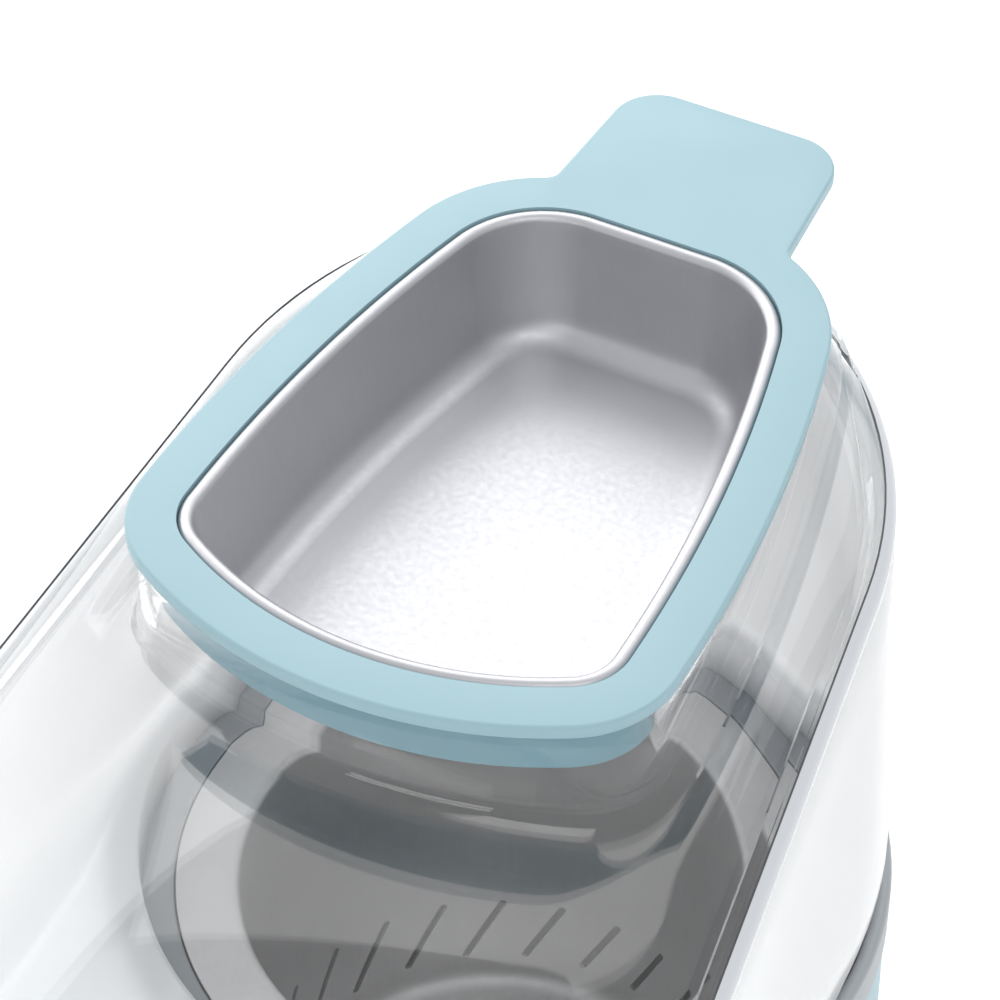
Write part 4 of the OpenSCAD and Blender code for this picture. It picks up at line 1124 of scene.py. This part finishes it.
# %% Finish the housing
# radius and height in millimetres: up the outside and down the screw's hole
BOSS = [(4.2, 10), (4.2, 28), (1.55, 28), (1.55, 10)]
boss = turned("boss", BOSS, True, n=32)
leave_edit(boss)
boss_r = (side_r(low_z) - SHELL_T - 9) * MM
boss_turns = [radians(20 + 90 * k) for k in range(4)]
boss_places = [(boss_r * cos(t), boss_r * sin(t)) for t in boss_turns]
bosses = copies(boss, boss_places)
smooth(housing, 0.35, steps=2, bevel_from=50, smooth_to=40)
join([housing, *bosses], "housing_shell")
housing.data.materials.append(pale_blue)
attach(housing, "base")
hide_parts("housing")

# %% [markdown]
# ## Feet and screws
#
# The feet are soft rubber buttons: round edges, a stem through the base plate
# and a barb above it. The pan-head screws have a cross recess, cut with two
# crossed blocks. Both are modelled once and copied.

# %% Feet
# radius and height in millimetres, from the middle of the face it stands on
BUTTON = [(7.0, 0), (7.8, 0.12), (8.4, 0.5), (8.75, 1.1), (8.9, 1.8), (9, 2.8), (9, 6.3),
          (8.85, 6.8), (8.5, 7)]
BARB = [(2.8, 7), (2.8, 10), (3.6, 10.05), (3.5, 10.7), (3.0, 11.4), (2.6, 11.5)]
foot_piece = turned("foot", BUTTON + BARB, False, n=64)
leave_edit(foot_piece)
feet_r = 58 * MM
foot_turns = [radians(45 + 90 * k) for k in range(4)]
foot_places = [(feet_r * cos(t), feet_r * sin(t)) for t in foot_turns] + [(0, 0)]
rubber_feet = join(copies(foot_piece, foot_places), "rubber_feet")
smooth(rubber_feet, smooth_to=45)
rubber_feet.data.materials.append(black_rubber)
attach(rubber_feet, "base")
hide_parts("feet")

# %% Base screws
HEAD = [(2.1, 6.7), (2.6, 6.8), (2.9, 7.1), (3, 7.5), (3, 8.35), (2.85, 8.5)]
SHANK = [(1.5, 8.5), (1.5, 14.8), (0.9, 15.5)]
screw = turned("screw", HEAD + SHANK, False, n=32)
leave_edit(screw)
for half_x, half_y in ((1.7, 0.4), (0.4, 1.7)):
    cut(screw, block("recess", (-half_x * MM, -half_y * MM, 6 * MM),
                     (half_x * MM, half_y * MM, 7.7 * MM), 0.1 * MM, 1))
screws = join(copies(screw, boss_places, boss_turns), "base_plate_screws")
smooth(screws, smooth_to=35)
screws.data.materials.append(screw_steel)
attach(screws, "base")
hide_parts("base_screws")

# %% [markdown]
# ## The switch
#
# A snap-in rocker switch: a dark case with a rounded bezel, and a glossy rocker
# whose hollow face is pressed in at one end. The rocker's outline is drawn from
# the side, pulled across, and turned to its resting tilt about its pivot.

# %% Switch case
def upright_plate(x, width, height, r, n=6):
    """A rounded rectangle that faces +X."""
    points = []
    for cy, cz, start in ((1, 1, 0), (-1, 1, 90), (-1, -1, 180), (1, -1, 270)):
        for i in range(n + 1):
            t = radians(start + 90 * i / n)
            y, z = cy * (width / 2 - r) + r * cos(t), cz * (height / 2 - r) + r * sin(t)
            points.append(Vector((x, y, switch_z + z)))
    return points


# depth, width, height and corner radius of each ring: body, bezel, then down the inside
CASE = ((-16, 12.8, 19.0, 0.5), (0, 12.8, 19.0, 0.5),
        (0, 16.6, 22.8, 1.6), (0.25, 16.8, 23.0, 1.6), (0.9, 16.8, 23.0, 1.6), (1.35, 16.4, 22.6, 1.4),
        (1.6, 15.4, 21.6, 1.0), (1.6, 11.2, 17.4, 0.6), (1.35, 10.4, 16.6, 0.4),
        (0.9, 10.0, 16.2, 0.35), (-10, 10.0, 16.2, 0.35))
case = shell("switch_bezel", [upright_plate(pad_x + x * MM, w * MM, h * MM, r * MM) for x, w, h, r in CASE])
fill_ends()
leave_edit(case)
smooth(case, smooth_to=40)
case.data.materials.append(dark_nylon)
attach(case, "base")
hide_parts("switch_case")

# %% Rocker
pivot_x = pad_x - 3.2 * MM
ROCKER_R, DISH_R, DISH_X, HALF_H, HALF_W = 8.2, 12.5, 17.7, 7.6, 4.5
side = [(-1.5, -HALF_H)]
side += [(sqrt(ROCKER_R ** 2 - z * z), z) for z in (-HALF_H, -7.0, -6.4, -5.8, -5.2)]
side += [(DISH_X - sqrt(DISH_R ** 2 - z * z), z) for z in (-4.2, -3.1, -2.1, -1, 0, 1, 2.1, 3.1, 4.2)]
side += [(sqrt(ROCKER_R ** 2 - z * z), z) for z in (5.2, 5.8, 6.4, 7.0, HALF_H)] + [(-1.5, HALF_H)]
rocker = shell("rocker_key", [[Vector((pivot_x + x * MM, y * MM, switch_z + z * MM)) for x, z in side]
                              for y in (-HALF_W, HALF_W)])
fill_ends()
leave_edit(rocker)
smooth(rocker, 0.5, bevel_from=40)
bpy.ops.object.mode_set(mode="EDIT")
bpy.ops.mesh.select_all(action="DESELECT")
bpy.ops.mesh.primitive_cylinder_add(vertices=32, radius=1.3 * MM, depth=11.6 * MM,
                                    location=(pivot_x, 0, switch_z), rotation=(pi / 2, 0, 0))
bpy.ops.object.mode_set(mode="OBJECT")
pivot = Matrix.Translation((pivot_x, 0, switch_z))
rocker.data.transform(pivot @ Matrix.Rotation(radians(-12), 4, "Y") @ pivot.inverted())
rocker.data.materials.append(black_gloss)
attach(rocker, "rocker")
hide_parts("switch_rocker")
print("rocker reaches x, mm:", round(max(v.co.x for v in rocker.data.vertices) / MM, 1))

# %% [markdown]
# ## The cord gland
#
# A dark nylon bush lines the hole for a mains lead. Its flange has a soft outer
# edge and a wide round mouth, so that a lead never bends over a corner.

# %% Gland
def ring_along_y(r, y, n=72):
    return [Vector((r * cos(2 * pi * i / n), y, gland_z + r * sin(2 * pi * i / n))) for i in range(n)]


# radius and depth: up the outside, over the flange and into the mouth
GLAND = ((3.8, -16), (4.1, -16), (6.7, -16), (7, -15.7), (7, 0),
         (9.5, 0), (9.5, 1.1), (9.3, 1.6), (8.9, 1.9), (8.3, 2),
         (5.6, 2), (4.8, 1.8), (4.2, 1.3), (3.9, 0.6), (3.8, -0.4))
gland = shell("cord_bush", [ring_along_y(r * MM, gland_y + y * MM) for r, y in GLAND])
close_ends(gland)
leave_edit(gland)
smooth(gland, smooth_to=40)
gland.data.materials.append(dark_nylon)
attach(gland, "base")
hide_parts("cord_gland")

# %% [markdown]
# ## The popping chamber
#
# A drawn aluminium cup with a flange, a soft bend into its floor and a low dome
# in the middle. Leaning louvres low in its wall blow hot air in at a slant, so
# that the corn swirls. The inner face is pulled up, Solidify gives the sheet's
# thickness outwards, and one leaning slot is copied round and cut out.

# %% Chamber
chamber_low, chamber_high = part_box("popping_chamber")
SHEET, CUP_R, BEND_R, DOME_R, DOME_H = 0.8, 48, 5, 34, 5
low, high = chamber_low.z / MM, chamber_high.z / MM
cup_floor = low + SHEET
bend = [(CUP_R - BEND_R * (1 - cos(radians(t))), cup_floor + BEND_R * (1 - sin(radians(t))))
        for t in range(0, 91, 15)]
DOME_STEPS = (DOME_R, 30, 25, 20, 15, 10, 6, 3, 1)
dome = [(r, cup_floor + DOME_H / 2 * (1 + cos(pi * r / DOME_R))) for r in DOME_STEPS]
flange = [(60, high), (CUP_R + 2, high), (CUP_R + 1, high - 0.2),
          (CUP_R + 0.3, high - 0.8), (CUP_R, high - 1.8)]
chamber = turned("chamber_cup", [*flange, (CUP_R, mix(low, high, 0.5)), *bend, *dome], False)
pick(chamber, "FACE", lambda f: f.calc_center_median().z > high * MM - 0.01 * MM and len(f.verts) > 4)
bpy.ops.mesh.delete(type="FACE")
leave_edit(chamber, recalc=False)
middle_face = min(chamber.data.polygons, key=lambda f: f.center.xy.length)
if middle_face.normal.z < 0:
    chamber.data.flip_normals()
apply(chamber, "SOLIDIFY", thickness=SHEET * MM, offset=-1, use_even_offset=True)
LOUVRES, LOUVRE_Z, LOUVRE_LEAN = 24, 17, 25
louvre = block("louvre", (45 * MM, -0.8 * MM, -10 * MM), (53 * MM, 0.8 * MM, 10 * MM), 0.78 * MM, 4)
lean_over = Matrix.Rotation(radians(LOUVRE_LEAN), 4, "X")
louvre.data.transform(Matrix.Translation((0, 0, (low + LOUVRE_Z) * MM)) @ lean_over)
louvre_turns = [2 * pi * k / LOUVRES for k in range(LOUVRES)]
cut(chamber, join(copies(louvre, [(0, 0)] * LOUVRES, louvre_turns), "louvres"))
smooth(chamber, smooth_to=40)
chamber.data.materials.append(chamber_aluminium)
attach(chamber, "base")
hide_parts("popping_chamber")

# %% [markdown]
# ## Finishes for the CAD pieces
#
# The pieces inside keep their CAD shapes, which are turned, cut or pressed
# parts as they are. Each gets the finish of its own material.

# %% CAD pieces
FINISHES = {
    pale_blue: ["housing", "cup_frame"], grey_satin: ["rim_ring", "base_plate"],
    white_gloss: ["chute_body"], clear_top_material: ["chute_window"], tray_aluminium: ["cup_tray"],
    chamber_aluminium: ["popping_chamber"], black_rubber: ["feet"], black_gloss: ["switch_rocker"],
    dark_nylon: ["chamber_carrier", "fan_housing", "motor_end_cap", "switch_case", "cord_gland", "gland_nut"],
    natural_nylon: ["impeller"],
    zinc_steel: ["air_duct", "heater_spider", "motor_can", "motor_shaft", "thermostat"],
    screw_steel: ["base_screws", "carrier_screws", "duct_screws", "motor_screws"],
    copper_alloy: ["motor_brushes", "commutator", "switch_terminals"], sintered_bronze: ["motor_bushes"],
    heating_wire: ["heater_coil"], varnished_copper: ["motor_armature"],
    mica: ["mica_board_a", "mica_board_b"],
    ferrite: ["motor_magnets"], glazed_ceramic: ["thermal_fuse"], glass_epoxy: ["rectifier_board"]}
finished = []
for material, names in FINISHES.items():
    for name in names:
        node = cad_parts[name]
        for slot in node.material_slots:
            slot.material = material
        finished.append(name)
print("finished CAD pieces:", len(finished), "left over:", sorted(set(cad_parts) - set(finished)))
